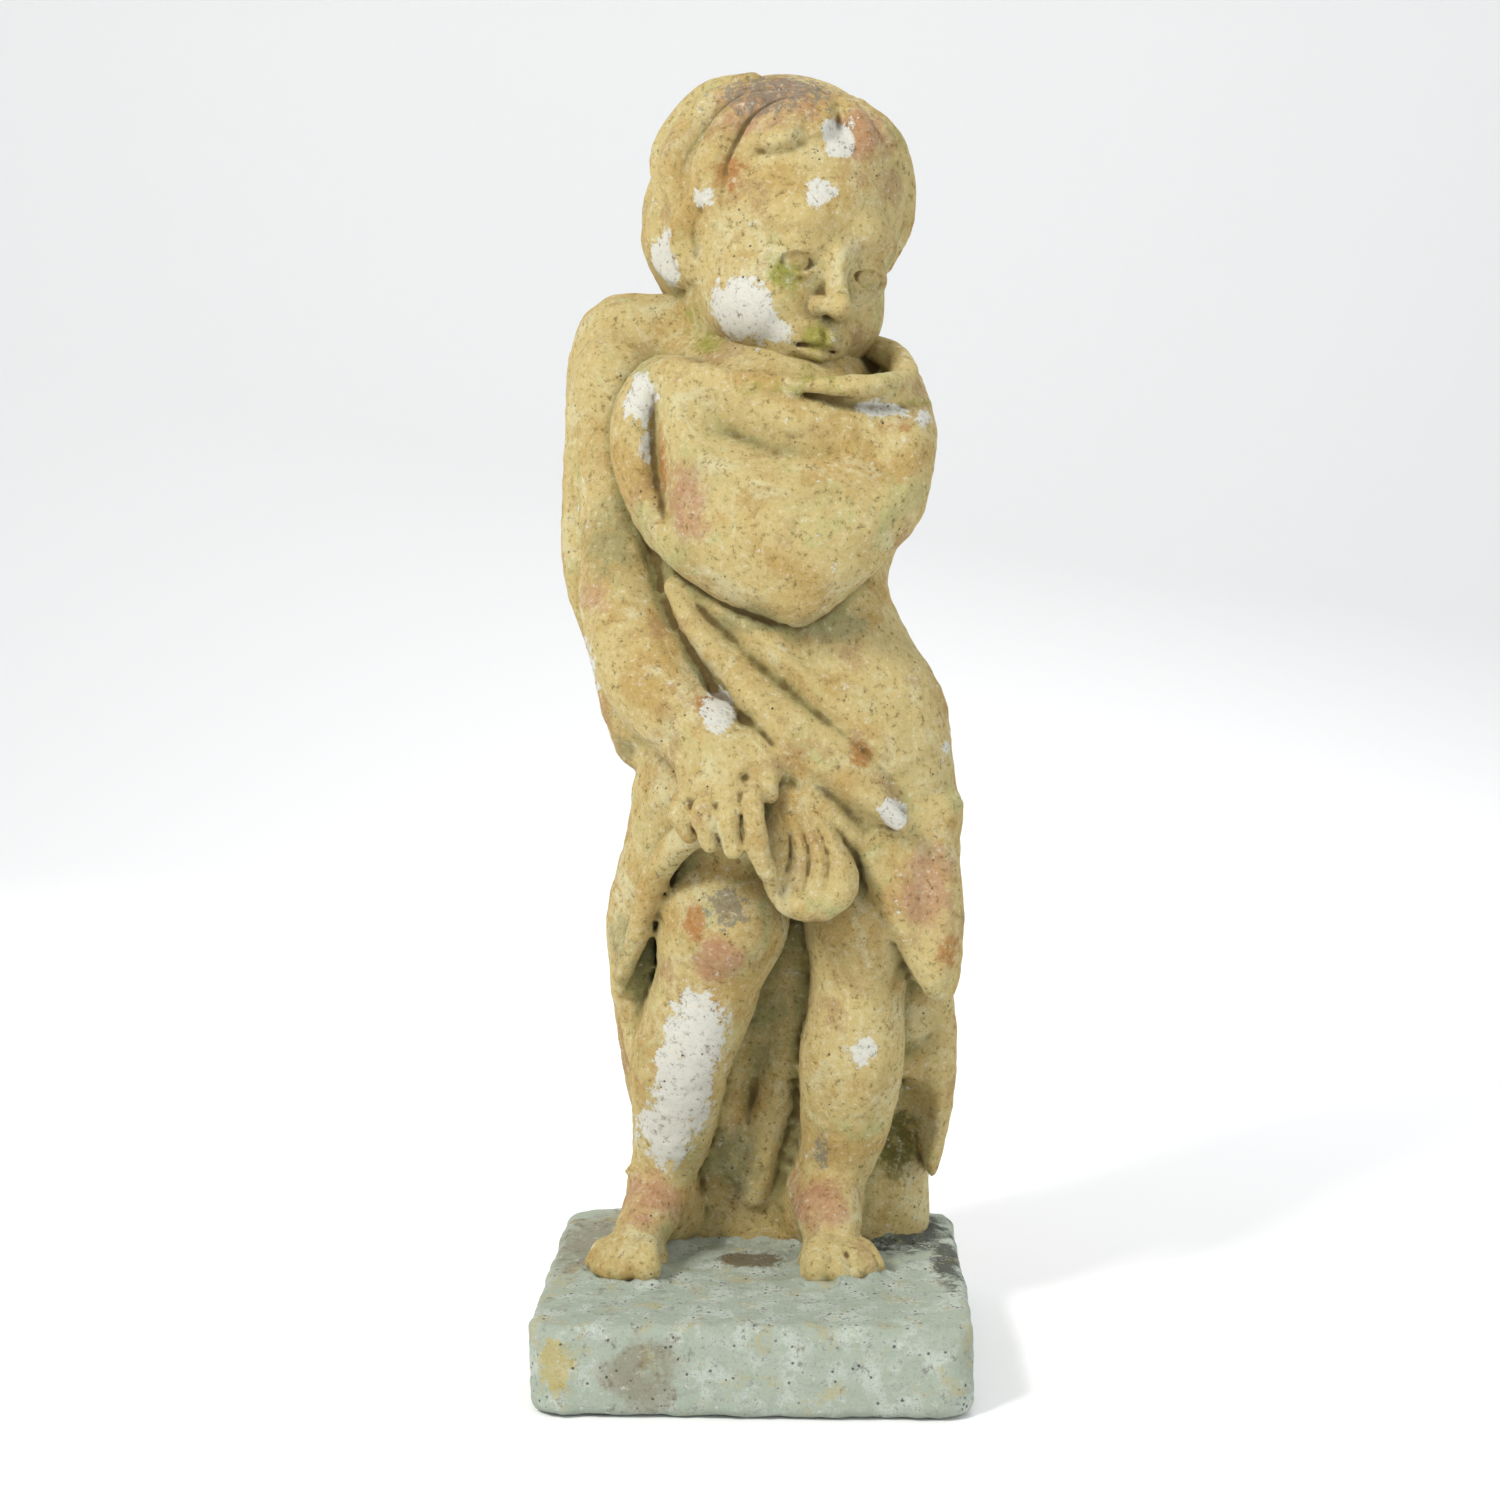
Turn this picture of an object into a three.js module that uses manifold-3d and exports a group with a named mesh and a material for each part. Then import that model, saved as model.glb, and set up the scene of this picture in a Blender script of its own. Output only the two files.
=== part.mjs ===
// A weathered stone putto on a square stone plinth, in millimetres, +Z up.
//
// The origin is the middle of the plinth's underside and the figure faces -Y. "Right" and "left"
// in the names are the figure's own right and left, so its right arm and leg are on the -X side.
// The child stands with bare lower legs, its head turned to its left and lowered. A cloak wraps the
// shoulders in a deep cowl over the folded left arm, crosses the hips to the gathers in the right
// hand, and falls behind the legs to the plinth, where a stump steadies it.
//
// The figure is a signed distance field of named forms, blended like modelled clay, polygonised
// once and thinned where it is smooth. The plinth is an extruded slab with rounded edges.

import * as THREE from "three";
import { mergeVertices } from "three/addons/utils/BufferGeometryUtils.js";
import Module from "manifold-3d";

// Driving dimensions.
const PLINTH = { width: 254, depth: 254, height: 53, corner: 20, edge: 6 };
const CELL = 6; // spacing of the grid that the figure is polygonised on
const FIGURE_TRIANGLES = 9400;

// ---------------------------------------------------------------------------------------------
// Shapes. Each is { low, high, depth }: a box that holds it, and a function of x, y, z that is
// about the distance to its surface, negative inside.

const clamp = THREE.MathUtils.clamp;

function boxAround(points, margin) {
  const box = new THREE.Box3().setFromPoints(points.map((p) => new THREE.Vector3(...p)));
  box.expandByScalar(margin);
  return { low: box.min.toArray(), high: box.max.toArray() };
}

// An ellipsoid, turned by angles in degrees about X, then Y, then Z.
function ball(centre, radii, turn = [0, 0, 0]) {
  const [rx, ry, rz] = Array.isArray(radii) ? radii : [radii, radii, radii];
  const m = rotation(turn);
  const depth = (x, y, z) => {
    const [u, v, w] = unturn(m, x - centre[0], y - centre[1], z - centre[2]);
    const k0 = Math.hypot(u / rx, v / ry, w / rz);
    const k1 = Math.hypot(u / (rx * rx), v / (ry * ry), w / (rz * rz));
    return k1 < 1e-9 ? -Math.min(rx, ry, rz) : (k0 * (k0 - 1)) / k1;
  };
  return { ...boxAround([centre], Math.max(rx, ry, rz)), depth };
}

function rotation(turn) {
  const [a, b, c] = turn.map(THREE.MathUtils.degToRad);
  return new THREE.Matrix4().makeRotationFromEuler(new THREE.Euler(a, b, c, "ZYX")).elements;
}

// The inverse of the rotation m, on one vector.
function unturn(m, x, y, z) {
  return [
    m[0] * x + m[1] * y + m[2] * z,
    m[4] * x + m[5] * y + m[6] * z,
    m[8] * x + m[9] * y + m[10] * z,
  ];
}

// A tube with a radius at each point of a smooth curve. flat is its thickness along Y as a share
// of its width.
function limb(points, radii, flat = 1) {
  const steps = points.length > 2 ? 5 * (points.length - 1) : 1;
  const curve = new THREE.CatmullRomCurve3(
    points.map(([x, y, z]) => new THREE.Vector3(x, y / flat, z)), false, "catmullrom", 0.5);
  const line = curve.getPoints(steps).map((p) => p.toArray());
  const swell = new THREE.CatmullRomCurve3(
    radii.map((r, i) => new THREE.Vector3(i, r, 0)), false, "catmullrom", 0.5);
  const size = line.map((_, i) => swell.getPoint(i / steps).y);
  const depth = (x, y, z) => {
    let best = Infinity;
    for (let i = 0; i < steps; i++) {
      const a = line[i];
      const bx = line[i + 1][0] - a[0];
      const by = line[i + 1][1] - a[1];
      const bz = line[i + 1][2] - a[2];
      const px = x - a[0];
      const py = y / flat - a[1];
      const pz = z - a[2];
      const t = clamp((px * bx + py * by + pz * bz) / (bx * bx + by * by + bz * bz), 0, 1);
      const gap = Math.hypot(px - t * bx, py - t * by, pz - t * bz);
      best = Math.min(best, gap - size[i] - t * (size[i + 1] - size[i]));
    }
    return best * Math.min(1, flat);
  };
  const held = line.map(([x, y, z]) => [x, y * flat, z]);
  return { ...boxAround(held, Math.max(...radii) * Math.max(1, flat)), depth };
}

// A body around the Z direction: stations of [z, centre x, centre y, half width, half depth],
// joined smoothly, with rounded squareness n and flutes {at, width, rise, low, high, drift}
// whose angle at is in degrees from the back (+Y) towards +X.
function loft(stations, n, flutes = [], round = 18) {
  const zs = stations.map((s) => s[0]);
  const low = Math.min(...zs);
  const high = Math.max(...zs);
  const reach = Math.max(...flutes.map((f) => Math.abs(f.rise)), 0);
  const curve = new THREE.CatmullRomCurve3(
    stations.map((s, i) => new THREE.Vector3(i, s[1], s[2])), false, "catmullrom", 0.5);
  const spread = new THREE.CatmullRomCurve3(
    stations.map((s, i) => new THREE.Vector3(i, s[3], s[4])), false, "catmullrom", 0.5);
  const depth = (x, y, z) => {
    const zc = clamp(z, low, high);
    let i = 0;
    while (i < stations.length - 2 && (zs[i + 1] - zc) * (zs[i] - zc) > 0) i++;
    const t = (i + (zc - zs[i]) / (zs[i + 1] - zs[i])) / (stations.length - 1);
    const c = curve.getPoint(clamp(t, 0, 1));
    const r = spread.getPoint(clamp(t, 0, 1));
    const u = x - c.y;
    const v = y - c.z;
    const span = Math.hypot(u, v);
    const m = (Math.abs(u / r.y) ** n + Math.abs(v / r.z) ** n) ** (1 / n);
    const angle = THREE.MathUtils.radToDeg(Math.atan2(u, v));
    let d = m < 1e-6 ? -Math.min(r.y, r.z) : span - span / m;
    for (const f of flutes) d -= fluteRise(f, angle, z);
    return smoothMax(d * 0.9, Math.max(z - high, low - z), round);
  };
  const corners = stations.flatMap(([z, cx, cy, rx, ry]) => [
    [cx - rx, cy - ry, z], [cx + rx, cy + ry, z]]);
  return { ...boxAround(corners, reach + 2), depth };
}

function fluteRise(f, angle, z) {
  const part = clamp((z - f.low) / (f.high - f.low), 0, 1);
  const fade = Math.sin(Math.PI * clamp((z - f.low + 25) / (f.high - f.low + 50), 0, 1)) ** 0.5;
  let away = angle - f.at - f.drift * part;
  away -= 360 * Math.round(away / 360);
  return f.rise * fade * Math.exp(-((away / f.width) ** 2));
}

// A pillow over a closed outline of [x, z] points: its middle lies at y = mid(x, z), it is thick
// through, and its rim is rounded by edge.
function pillow(outline, mid, thick, edge) {
  const curve = new THREE.CatmullRomCurve3(
    outline.map(([x, z]) => new THREE.Vector3(x, 0, z)), true, "catmullrom", 0.5);
  const ring = curve.getPoints(4 * outline.length).slice(0, -1).map((p) => [p.x, p.z]);
  const depth = (x, y, z) => {
    const inset = ringDistance(ring, x, z) + edge;
    const over = Math.abs(y - mid(x, z)) - (thick / 2 - edge);
    return Math.min(Math.max(inset, over), 0) + Math.hypot(Math.max(inset, 0), Math.max(over, 0)) - edge;
  };
  const box = boxAround(ring.map(([x, z]) => [x, mid(x, z), z]), 1);
  box.low[1] -= thick / 2;
  box.high[1] += thick / 2;
  return { ...box, depth };
}

// The surfaces that a stroke marks, as the y they lie between.
const FRONT = [-200, 40];
const BACK = [40, 200];

// A groove with its greatest depth on a smooth line of [x, z] points, as seen along Y, fading over
// a width to each side and towards its ends. A negative depth raises a ridge.
function stroke(points, width, deep, [from, to] = FRONT) {
  const fine = 5 * (points.length - 1);
  const curve = new THREE.CatmullRomCurve3(
    points.map(([x, z]) => new THREE.Vector3(x, 0, z)), false, "catmullrom", 0.5);
  const line = curve.getPoints(fine).map((p) => [p.x, p.z]);
  const rise = (x, y, z) => {
    let best = Infinity;
    let where = 0;
    for (let i = 0; i < fine; i++) {
      const [ax, az] = line[i];
      const ex = line[i + 1][0] - ax;
      const ez = line[i + 1][1] - az;
      const t = clamp(((x - ax) * ex + (z - az) * ez) / (ex * ex + ez * ez), 0, 1);
      const gap = Math.hypot(x - ax - t * ex, z - az - t * ez);
      if (gap >= best) continue;
      best = gap;
      where = (i + t) / fine;
    }
    const taper = Math.sin(Math.PI * clamp(where * 0.92 + 0.04, 0, 1)) ** 0.6;
    const within = clamp((y - from) / 10, 0, 1) * clamp((to - y) / 10, 0, 1);
    return deep * taper * within * Math.exp(-((best / width) ** 1.6));
  };
  const ends = line.flatMap(([x, z]) => [[x, from, z], [x, to, z]]);
  return { ...boxAround(ends, 2.5 * width), rise };
}

function ringDistance(ring, x, z) {
  let best = Infinity;
  let inside = false;
  for (let i = 0, j = ring.length - 1; i < ring.length; j = i++) {
    const [ax, az] = ring[j];
    const [bx, bz] = ring[i];
    const ex = bx - ax;
    const ez = bz - az;
    const t = clamp(((x - ax) * ex + (z - az) * ez) / (ex * ex + ez * ez), 0, 1);
    best = Math.min(best, Math.hypot(x - ax - t * ex, z - az - t * ez));
    if (az > z !== bz > z && x < ((bx - ax) * (z - az)) / (bz - az) + ax) inside = !inside;
  }
  return inside ? -best : best;
}

// ---------------------------------------------------------------------------------------------
// Modelling. A clay is a list of steps, and add, carve and press are what is done to it. soft is
// the width in millimetres over which a step blends into what is there.

function smoothMin(a, b, soft) {
  const h = Math.max(soft - Math.abs(a - b), 0) / soft;
  return Math.min(a, b) - (h * h * soft) / 4;
}

function smoothMax(a, b, soft) {
  return -smoothMin(-a, -b, soft);
}

class Clay {
  constructor() {
    this.steps = [];
  }
  add(shape, soft = 6) {
    this.steps.push({ shape, soft, side: 1 });
  }
  carve(shape, soft = 6) {
    this.steps.push({ shape, soft, side: -1 });
  }
  press(mark) {
    this.steps.push({ shape: mark, soft: 1, side: 0 });
  }
  // The clay as a shape, moved and turned into place.
  placed(at = [0, 0, 0], turn = [0, 0, 0]) {
    const m = rotation(turn);
    const matrix = new THREE.Matrix4().fromArray(m).setPosition(...at);
    const box = new THREE.Box3();
    for (const { shape, side } of this.steps) {
      if (side < 1) continue;
      const own = new THREE.Box3(new THREE.Vector3(...shape.low), new THREE.Vector3(...shape.high));
      box.union(own.applyMatrix4(matrix));
    }
    const depth = (x, y, z) => {
      const [u, v, w] = unturn(m, x - at[0], y - at[1], z - at[2]);
      return this.depth(u, v, w);
    };
    return { low: box.min.toArray(), high: box.max.toArray(), depth };
  }
  depth(x, y, z) {
    let d = FAR;
    for (const { shape, soft, side } of this.steps) {
      const { low, high } = shape;
      const margin = soft + REACH;
      if (x < low[0] - margin || x > high[0] + margin) continue;
      if (y < low[1] - margin || y > high[1] + margin) continue;
      if (z < low[2] - margin || z > high[2] + margin) continue;
      if (side === 0) {
        d += shape.rise(x, y, z);
        continue;
      }
      const s = shape.depth(x, y, z);
      d = side > 0 ? smoothMin(d, s, soft) : smoothMax(d, -s, soft);
    }
    return d;
  }
}
const FAR = 60;
const REACH = 12;

// ---------------------------------------------------------------------------------------------
// The head, about its own middle, facing -Y before it is turned into place.

function skull(head) {
  head.add(ball([0, 10, 14], [68, 77, 74]), 1);
  head.add(ball([0, -16, -32], [54, 51, 50]), 24);
  for (const side of [-1, 1]) {
    head.add(ball([side * 28, -38, -44], [25, 25, 24]), 18);
  }
  head.add(ball([0, -49, -73], [16, 13, 12]), 16);
  head.add(limb([[0, 20, -40], [-6, 30, -110]], [38, 44]), 20);
}

function eyes(head) {
  for (const side of [-1, 1]) {
    head.carve(ball([side * 24, -80, -14], [18, 12, 10], [0, 0, side * 14]), 12);
    head.add(ball([side * 25, -53, -17], [16, 15.5, 13]), 6);
    head.carve(ball([side * 25.5, -71.5, -17], [13.5, 9.5, 5.8], [0, side * 6, side * 14]), 1.5);
    head.add(ball([side * 25, -53, -17], [13.5, 13.4, 11.5]), 1);
    // The fold over the upper lid, and a soft brow.
    head.carve(limb([[side * 13, -70, -8], [side * 25, -74, -3], [side * 39, -64, -8]], [1.5, 2, 1.5]), 5);
    head.add(limb([[side * 11, -60, 4], [side * 24, -62, 8], [side * 40, -52, 4]], [3, 4, 3]), 16);
  }
}

function noseAndMouth(head) {
  head.add(limb([[0, -67, -8], [0, -72, -22], [0, -80, -36]], [4.5, 5.5, 8]), 8);
  for (const side of [-1, 1]) {
    head.add(ball([side * 8.5, -72.5, -38], [5.5, 7, 5.2]), 4);
    head.carve(ball([side * 4.5, -79, -44], [2.4, 3, 2]), 2);
  }
  head.add(ball([0, -61, -59], [21, 12, 13]), 12);
  head.add(limb([[-15, -62, -60], [-6, -71, -57], [0, -71.5, -58.5], [6, -71, -57], [15, -62, -60]],
    [2, 4.2, 3.6, 4.2, 2]), 3);
  head.add(limb([[-13, -62, -65], [0, -69.5, -67.5], [13, -62, -65]], [2, 5.4, 2]), 3);
  head.carve(limb([[-16, -65, -62], [0, -76, -62.5], [16, -65, -62]], [1.6, 1.5, 1.6]), 2);
  head.carve(limb([[-9, -69, -73], [9, -69, -73]], [3, 3]), 7);
  head.carve(limb([[0, -76, -47], [0, -75, -53]], [1.5, 2]), 4);
}

// A point on the hair, from an angle round the head (0 in front, 90 to +X) and one above the
// ears, proud of the surface by out.
function onHair(around, above, out = 0) {
  const a = THREE.MathUtils.degToRad(around);
  const e = THREE.MathUtils.degToRad(above);
  const r = HAIR.radii.map((v) => v + out);
  return [
    HAIR.centre[0] + r[0] * Math.sin(a) * Math.cos(e),
    HAIR.centre[1] - r[1] * Math.cos(a) * Math.cos(e),
    HAIR.centre[2] + r[2] * Math.sin(e),
  ];
}
const HAIR = { centre: [0, 13, 13], radii: [72, 81, 78] };

// A lock of hair lies along angles [around, above] on the head, thickest in its middle.
function lock(head, way, width, out = 0) {
  head.add(limb(way.map(([a, e]) => onHair(a, e, out)), [width * 0.5, width, width, width * 0.3]), 4);
}

function hair(head) {
  const cap = new Clay();
  cap.add(ball(HAIR.centre, HAIR.radii), 1);
  cap.add(limb([[-48, 34, -20], [0, 62, -38], [48, 34, -20]], [24, 30, 24]), 20);
  cap.carve(ball([0, -66, -30], [57, 62, 75]), 6);
  head.add(cap.placed(), 3);
  // The fringe: locks combed from the crown to either side of the brow.
  lock(head, [[-25, 62], [-36, 44], [-50, 30], [-58, 10]], 9);
  lock(head, [[-12, 60], [-20, 46], [-24, 36], [-34, 30]], 8);
  lock(head, [[-30, 56], [-32, 40], [-40, 26], [-52, 22]], 7, 3);
  lock(head, [[-2, 62], [-2, 48], [6, 38], [18, 33]], 9);
  lock(head, [[12, 60], [18, 46], [28, 36], [38, 34]], 8);
  lock(head, [[26, 60], [38, 46], [50, 34], [56, 16]], 8);
  // The sides: a long lock in front of each ear, curls over it and behind.
  for (const side of [-1, 1]) {
    lock(head, [[side * 46, 50], [side * 66, 34], [side * 70, 8], [side * 62, -14]], 10);
    lock(head, [[side * 62, 52], [side * 88, 36], [side * 96, 8], [side * 84, -16]], 11);
    lock(head, [[side * 72, -2], [side * 82, -22], [side * 74, -38], [side * 64, -30]], 9, 0);
    lock(head, [[side * 96, 2], [side * 104, -20], [side * 96, -40], [side * 84, -42]], 10, 0);
    lock(head, [[side * 90, 58], [side * 120, 40], [side * 122, 12], [side * 108, -10]], 11);
    lock(head, [[side * 128, 56], [side * 150, 36], [side * 148, 8], [side * 134, -18]], 11);
    lock(head, [[side * 120, 8], [side * 130, -14], [side * 122, -36], [side * 108, -42]], 10, 0);
  }
  lock(head, [[180, 60], [168, 34], [182, 8], [172, -16]], 11);
  lock(head, [[150, 4], [162, -18], [152, -40], [140, -48]], 10, 0);
  lock(head, [[-160, 4], [-172, -18], [-164, -40], [-152, -48]], 10, 0);
}

function head() {
  const clay = new Clay();
  skull(clay);
  eyes(clay);
  noseAndMouth(clay);
  hair(clay);
  return clay.placed([17, 20, 681], [12, 9, 33]);
}

// ---------------------------------------------------------------------------------------------
// The body under the cloak, the legs and the arm.

function toes(clay, root, tips, radii) {
  tips.forEach((tip, i) => {
    const knuckle = tip.map((v, axis) => THREE.MathUtils.lerp(root[axis], v, 0.45));
    const bend = tip.map((v, axis) => THREE.MathUtils.lerp(root[axis], v, 0.8) + (axis === 2 ? 6 : 0));
    clay.add(limb([knuckle, bend, tip], [radii[i], radii[i] * 0.9, radii[i]]), 2);
  });
}

function rightLeg(clay) {
  const knee = [-19, 0, 266];
  clay.add(limb([[-14, 34, 350], knee], [40, 35]), 12);
  clay.add(limb([knee, [-32, 4, 218], [-46, 10, 178], [-52, 24, 130], [-60, 32, 100]],
    [35, 32, 31, 25, 19]), 14);
  clay.add(ball([-22, -18, 264], [24, 20, 27]), 16);
  clay.add(limb([[-60, 36, 88], [-63, 12, 84], [-74, -14, 68]], [20, 19, 15]), 12);
  clay.add(ball([-55, 44, 70], [19, 18, 18]), 12);
  clay.add(ball([-77, -12, 59], [24, 20, 12], [0, 0, 12]), 8);
  clay.add(limb([[-80, 22, 104], [-62, 10, 102], [-44, 22, 104]], [2, 3, 2]), 5);
  toes(clay, [-68, 10, 72],
    [[-99, -20, 59], [-94, -30, 59], [-87, -36, 59], [-78, -40, 60], [-65, -41, 61]],
    [5.5, 6, 6.5, 7, 9.5]);
}

function leftLeg(clay) {
  const knee = [63, 6, 264];
  clay.add(limb([[52, 34, 345], knee], [38, 29]), 12);
  clay.add(limb([knee, [61, 10, 216], [59, 14, 178], [54, 26, 128], [44, 32, 98]],
    [29, 29, 32, 26, 21]), 14);
  clay.add(ball([63, -12, 258], [19, 16, 24]), 14);
  clay.add(limb([[43, 36, 84], [45, 8, 82], [48, -14, 66]], [21, 20, 14]), 12);
  clay.add(ball([40, 46, 70], [20, 18, 18]), 12);
  clay.add(ball([49, -12, 59], [24, 20, 12], [0, 0, -6]), 8);
  toes(clay, [45, 12, 72],
    [[37, -38, 61], [51, -40, 60], [60, -37, 59], [68, -31, 59], [73, -22, 59]],
    [9.5, 7, 6.5, 6, 5.5]);
}

function rightArm(clay) {
  clay.add(limb([[-86, 20, 594], [-85, 12, 520], [-82, -4, 462]], [25, 22, 23]), 8);
  clay.add(limb([[-82, -4, 462], [-72, -20, 434], [-57, -36, 406], [-40, -47, 388], [-27, -52, 376]],
    [23, 28, 27, 23, 20]), 8);
  clay.carve(limb([[-116, 24, 610], [-117, 22, 540], [-114, 18, 480], [-106, 14, 430]], [4, 5, 5, 4]), 7);
}

function rightHand(clay) {
  clay.add(limb([[-28, -52, 380], [-21, -59, 360], [-20, -62, 347]], [20, 25, 22], 0.62), 8);
  const fingers = [
    [[-40, -60, 347], [-42, -69, 338], [-37, -67, 326]],
    [[-27, -64, 349], [-28, -74, 337], [-25, -72, 322]],
    [[-13, -66, 350], [-14, -76, 336], [-11, -74, 318]],
    [[-1, -66, 354], [1, -77, 338], [3, -77, 320], [8, -72, 304]],
  ];
  for (const finger of fingers) clay.add(limb(finger, [7, 7, 6]), 1.5);
  clay.add(limb([[-4, -56, 376], [7, -62, 362], [10, -65, 348]], [10, 8, 5.5]), 5);
}

// ---------------------------------------------------------------------------------------------
// The cloak.

// What hangs behind: a mantle, square over the shoulders, that narrows at the waist and reaches
// the plinth behind the legs.
function mantle(clay) {
  const flutes = [
    { at: -62, width: 9, rise: 7, low: 90, high: 560, drift: 10 },
    { at: -34, width: 10, rise: 9, low: 70, high: 520, drift: 6 },
    { at: -8, width: 9, rise: 8, low: 60, high: 560, drift: -4 },
    { at: 18, width: 10, rise: 9, low: 70, high: 500, drift: -10 },
    { at: 46, width: 10, rise: 8, low: 80, high: 540, drift: -8 },
  ];
  clay.add(loft([
    [646, -42, 58, 58, 28], [630, -36, 57, 74, 38], [606, -21, 54, 96, 44], [575, -13, 54, 106, 46],
    [510, -14, 50, 107, 46], [470, -20, 50, 100, 46], [434, -9, 50, 99, 48], [400, 6, 50, 100, 50],
    [362, 23, 52, 92, 52], [320, 22, 56, 97, 50], [270, 15, 62, 107, 44], [220, 14, 66, 107, 40],
    [160, 13, 72, 99, 36], [100, 17, 76, 91, 34], [46, 20, 78, 88, 34],
  ], 2.7, flutes, 14), 10);
  // Folds that sweep over the back from the right shoulder to the left hip, and the cloth bunched
  // at the nape.
  for (const [x, z] of [[-84, 600], [-60, 622], [-20, 616]]) {
    clay.press(stroke([[x, z], [x + 14, z - 80], [x + 44, z - 160], [x + 82, z - 230], [x + 104, z - 320]],
      11, -8, BACK));
    clay.press(stroke([[x + 18, z - 10], [x + 34, z - 90], [x + 64, z - 165], [x + 98, z - 235]],
      8, 6, BACK));
  }
  clay.press(stroke([[-84, 620], [-40, 606], [10, 600], [56, 606]], 10, -7, BACK));
  clay.press(stroke([[-70, 420], [-76, 330], [-66, 230], [-60, 110]], 12, -9, BACK));
  clay.press(stroke([[-36, 400], [-34, 300], [-20, 200], [-22, 90]], 12, -9, BACK));
  clay.press(stroke([[40, 330], [34, 250], [44, 170], [38, 80]], 12, -9, BACK));
  // Cloth that shows below the elbow.
  clay.add(limb([[-88, 16, 412], [-82, 12, 390], [-68, 8, 372]], [10, 11, 7]), 5);
  clay.add(limb([[-84, 24, 392], [-74, 18, 368], [-58, 6, 362]], [10, 10, 7]), 4);
}

function torso(clay) {
  clay.add(limb([[8, 20, 560], [6, 16, 500], [10, 14, 450]], [70, 62, 56]), 24);
}

// The cowl: a deep pouch from shoulder to shoulder over the folded arm, pointed below, with a
// fat roll on the right shoulder, a scoop below the throat and a rolled rim.
function cowl() {
  const clay = new Clay();
  const outline = [[-38, 600], [-60, 600], [-76, 584], [-82, 564], [-80, 542], [-75, 522], [-67, 501],
    [-54, 484], [-38, 472], [-18, 461], [2, 453], [22, 446], [30, 446], [44, 454], [62, 470],
    [80, 487], [92, 503], [100, 525], [104, 548], [101, 566], [91, 582], [60, 586], [10, 588]];
  const bent = (x, z) => -27 + ((x - 12) / 17) ** 2 + Math.max(500 - z, 0) / 8;
  clay.add(pillow(outline, bent, 88, 15), 4);
  clay.add(ball([18, -58, 512], [58, 22, 44]), 24);
  clay.add(limb([[-40, -8, 588], [-57, -20, 583], [-64, -26, 562], [-64, -30, 536], [-58, -32, 512]],
    [15, 18, 20, 18, 12]), 8);
  clay.add(limb([[86, -8, 576], [86, -36, 552], [78, -42, 520]], [13, 19, 20]), 14);
  // The throat, its rolled rim and the flap of cloth that stands up beside the chin.
  clay.carve(ball([26, -26, 606], [62, 34, 30]), 5);
  clay.add(limb([[88, -16, 580], [86, 8, 588], [66, 32, 593]], [12, 13, 15]), 6);
  clay.add(limb([[-24, -54, 589], [4, -66, 584], [40, -68, 581], [70, -58, 583], [87, -28, 588],
    [86, -8, 600], [74, 10, 609], [54, 24, 612]], [6, 6, 7, 7, 8, 8, 8, 8]), 3);
  clay.press(stroke([[-57, 588], [-59, 560], [-57, 534], [-51, 504]], 6, 12));
  clay.press(stroke([[-46, 580], [-40, 558], [-25, 541], [-4, 531], [22, 526], [50, 526]], 7, -7));
  clay.press(stroke([[-30, 584], [-18, 562], [4, 549], [34, 545], [56, 548]], 13, 12));
  clay.press(stroke([[22, 582], [44, 574], [72, 571], [104, 574]], 5, 7, [-200, -30]));
  return clay.placed();
}

// The cloth wound round the hips, with the end that hangs over the left thigh and the swag that
// runs from the right hand back over the right thigh.
function hips(clay) {
  clay.add(loft([
    [486, 8, 16, 66, 46], [465, 10, 14, 68, 48], [430, 20, 10, 78, 52], [400, 27, 8, 87, 57],
    [360, 30, 8, 90, 60], [320, 30, 12, 92, 56], [300, 32, 20, 91, 48],
  ], 2.3, [], 16), 16);
  const end = [[40, 346], [58, 314], [66, 294], [73, 278], [83, 259], [92, 241], [102, 226],
    [113, 219], [122, 228], [125, 250], [124, 280], [121, 310], [118, 346]];
  clay.add(pillow(end, (x) => 4 + ((x - 60) / 15) ** 2, 88, 12), 5);
  clay.press(stroke([[118, 330], [116, 290], [112, 250], [108, 228]], 9, -3));
  clay.press(stroke([[104, 320], [101, 285], [98, 250]], 7, 3));
  const swag = [[-20, 336], [-40, 352], [-54, 364], [-70, 357], [-76, 340], [-75, 322], [-83, 304],
    [-90, 280], [-91, 260], [-89, 238], [-84, 218], [-77, 226], [-73, 246], [-66, 268], [-58, 287],
    [-48, 304], [-30, 316]];
  clay.add(pillow(swag, (x) => -6 - 0.9 * (x + 60), 26, 10), 6);
  clay.add(limb([[-24, -54, 328], [-42, -44, 319], [-56, -28, 302], [-65, -16, 280], [-73, -8, 256],
    [-79, -4, 238], [-83, 4, 230]], [7, 9, 9, 8, 7, 6, 5]), 4);
  clay.add(limb([[-34, -40, 350], [-54, -18, 342], [-68, 0, 326]], [8, 9, 8]), 5);
}

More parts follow.
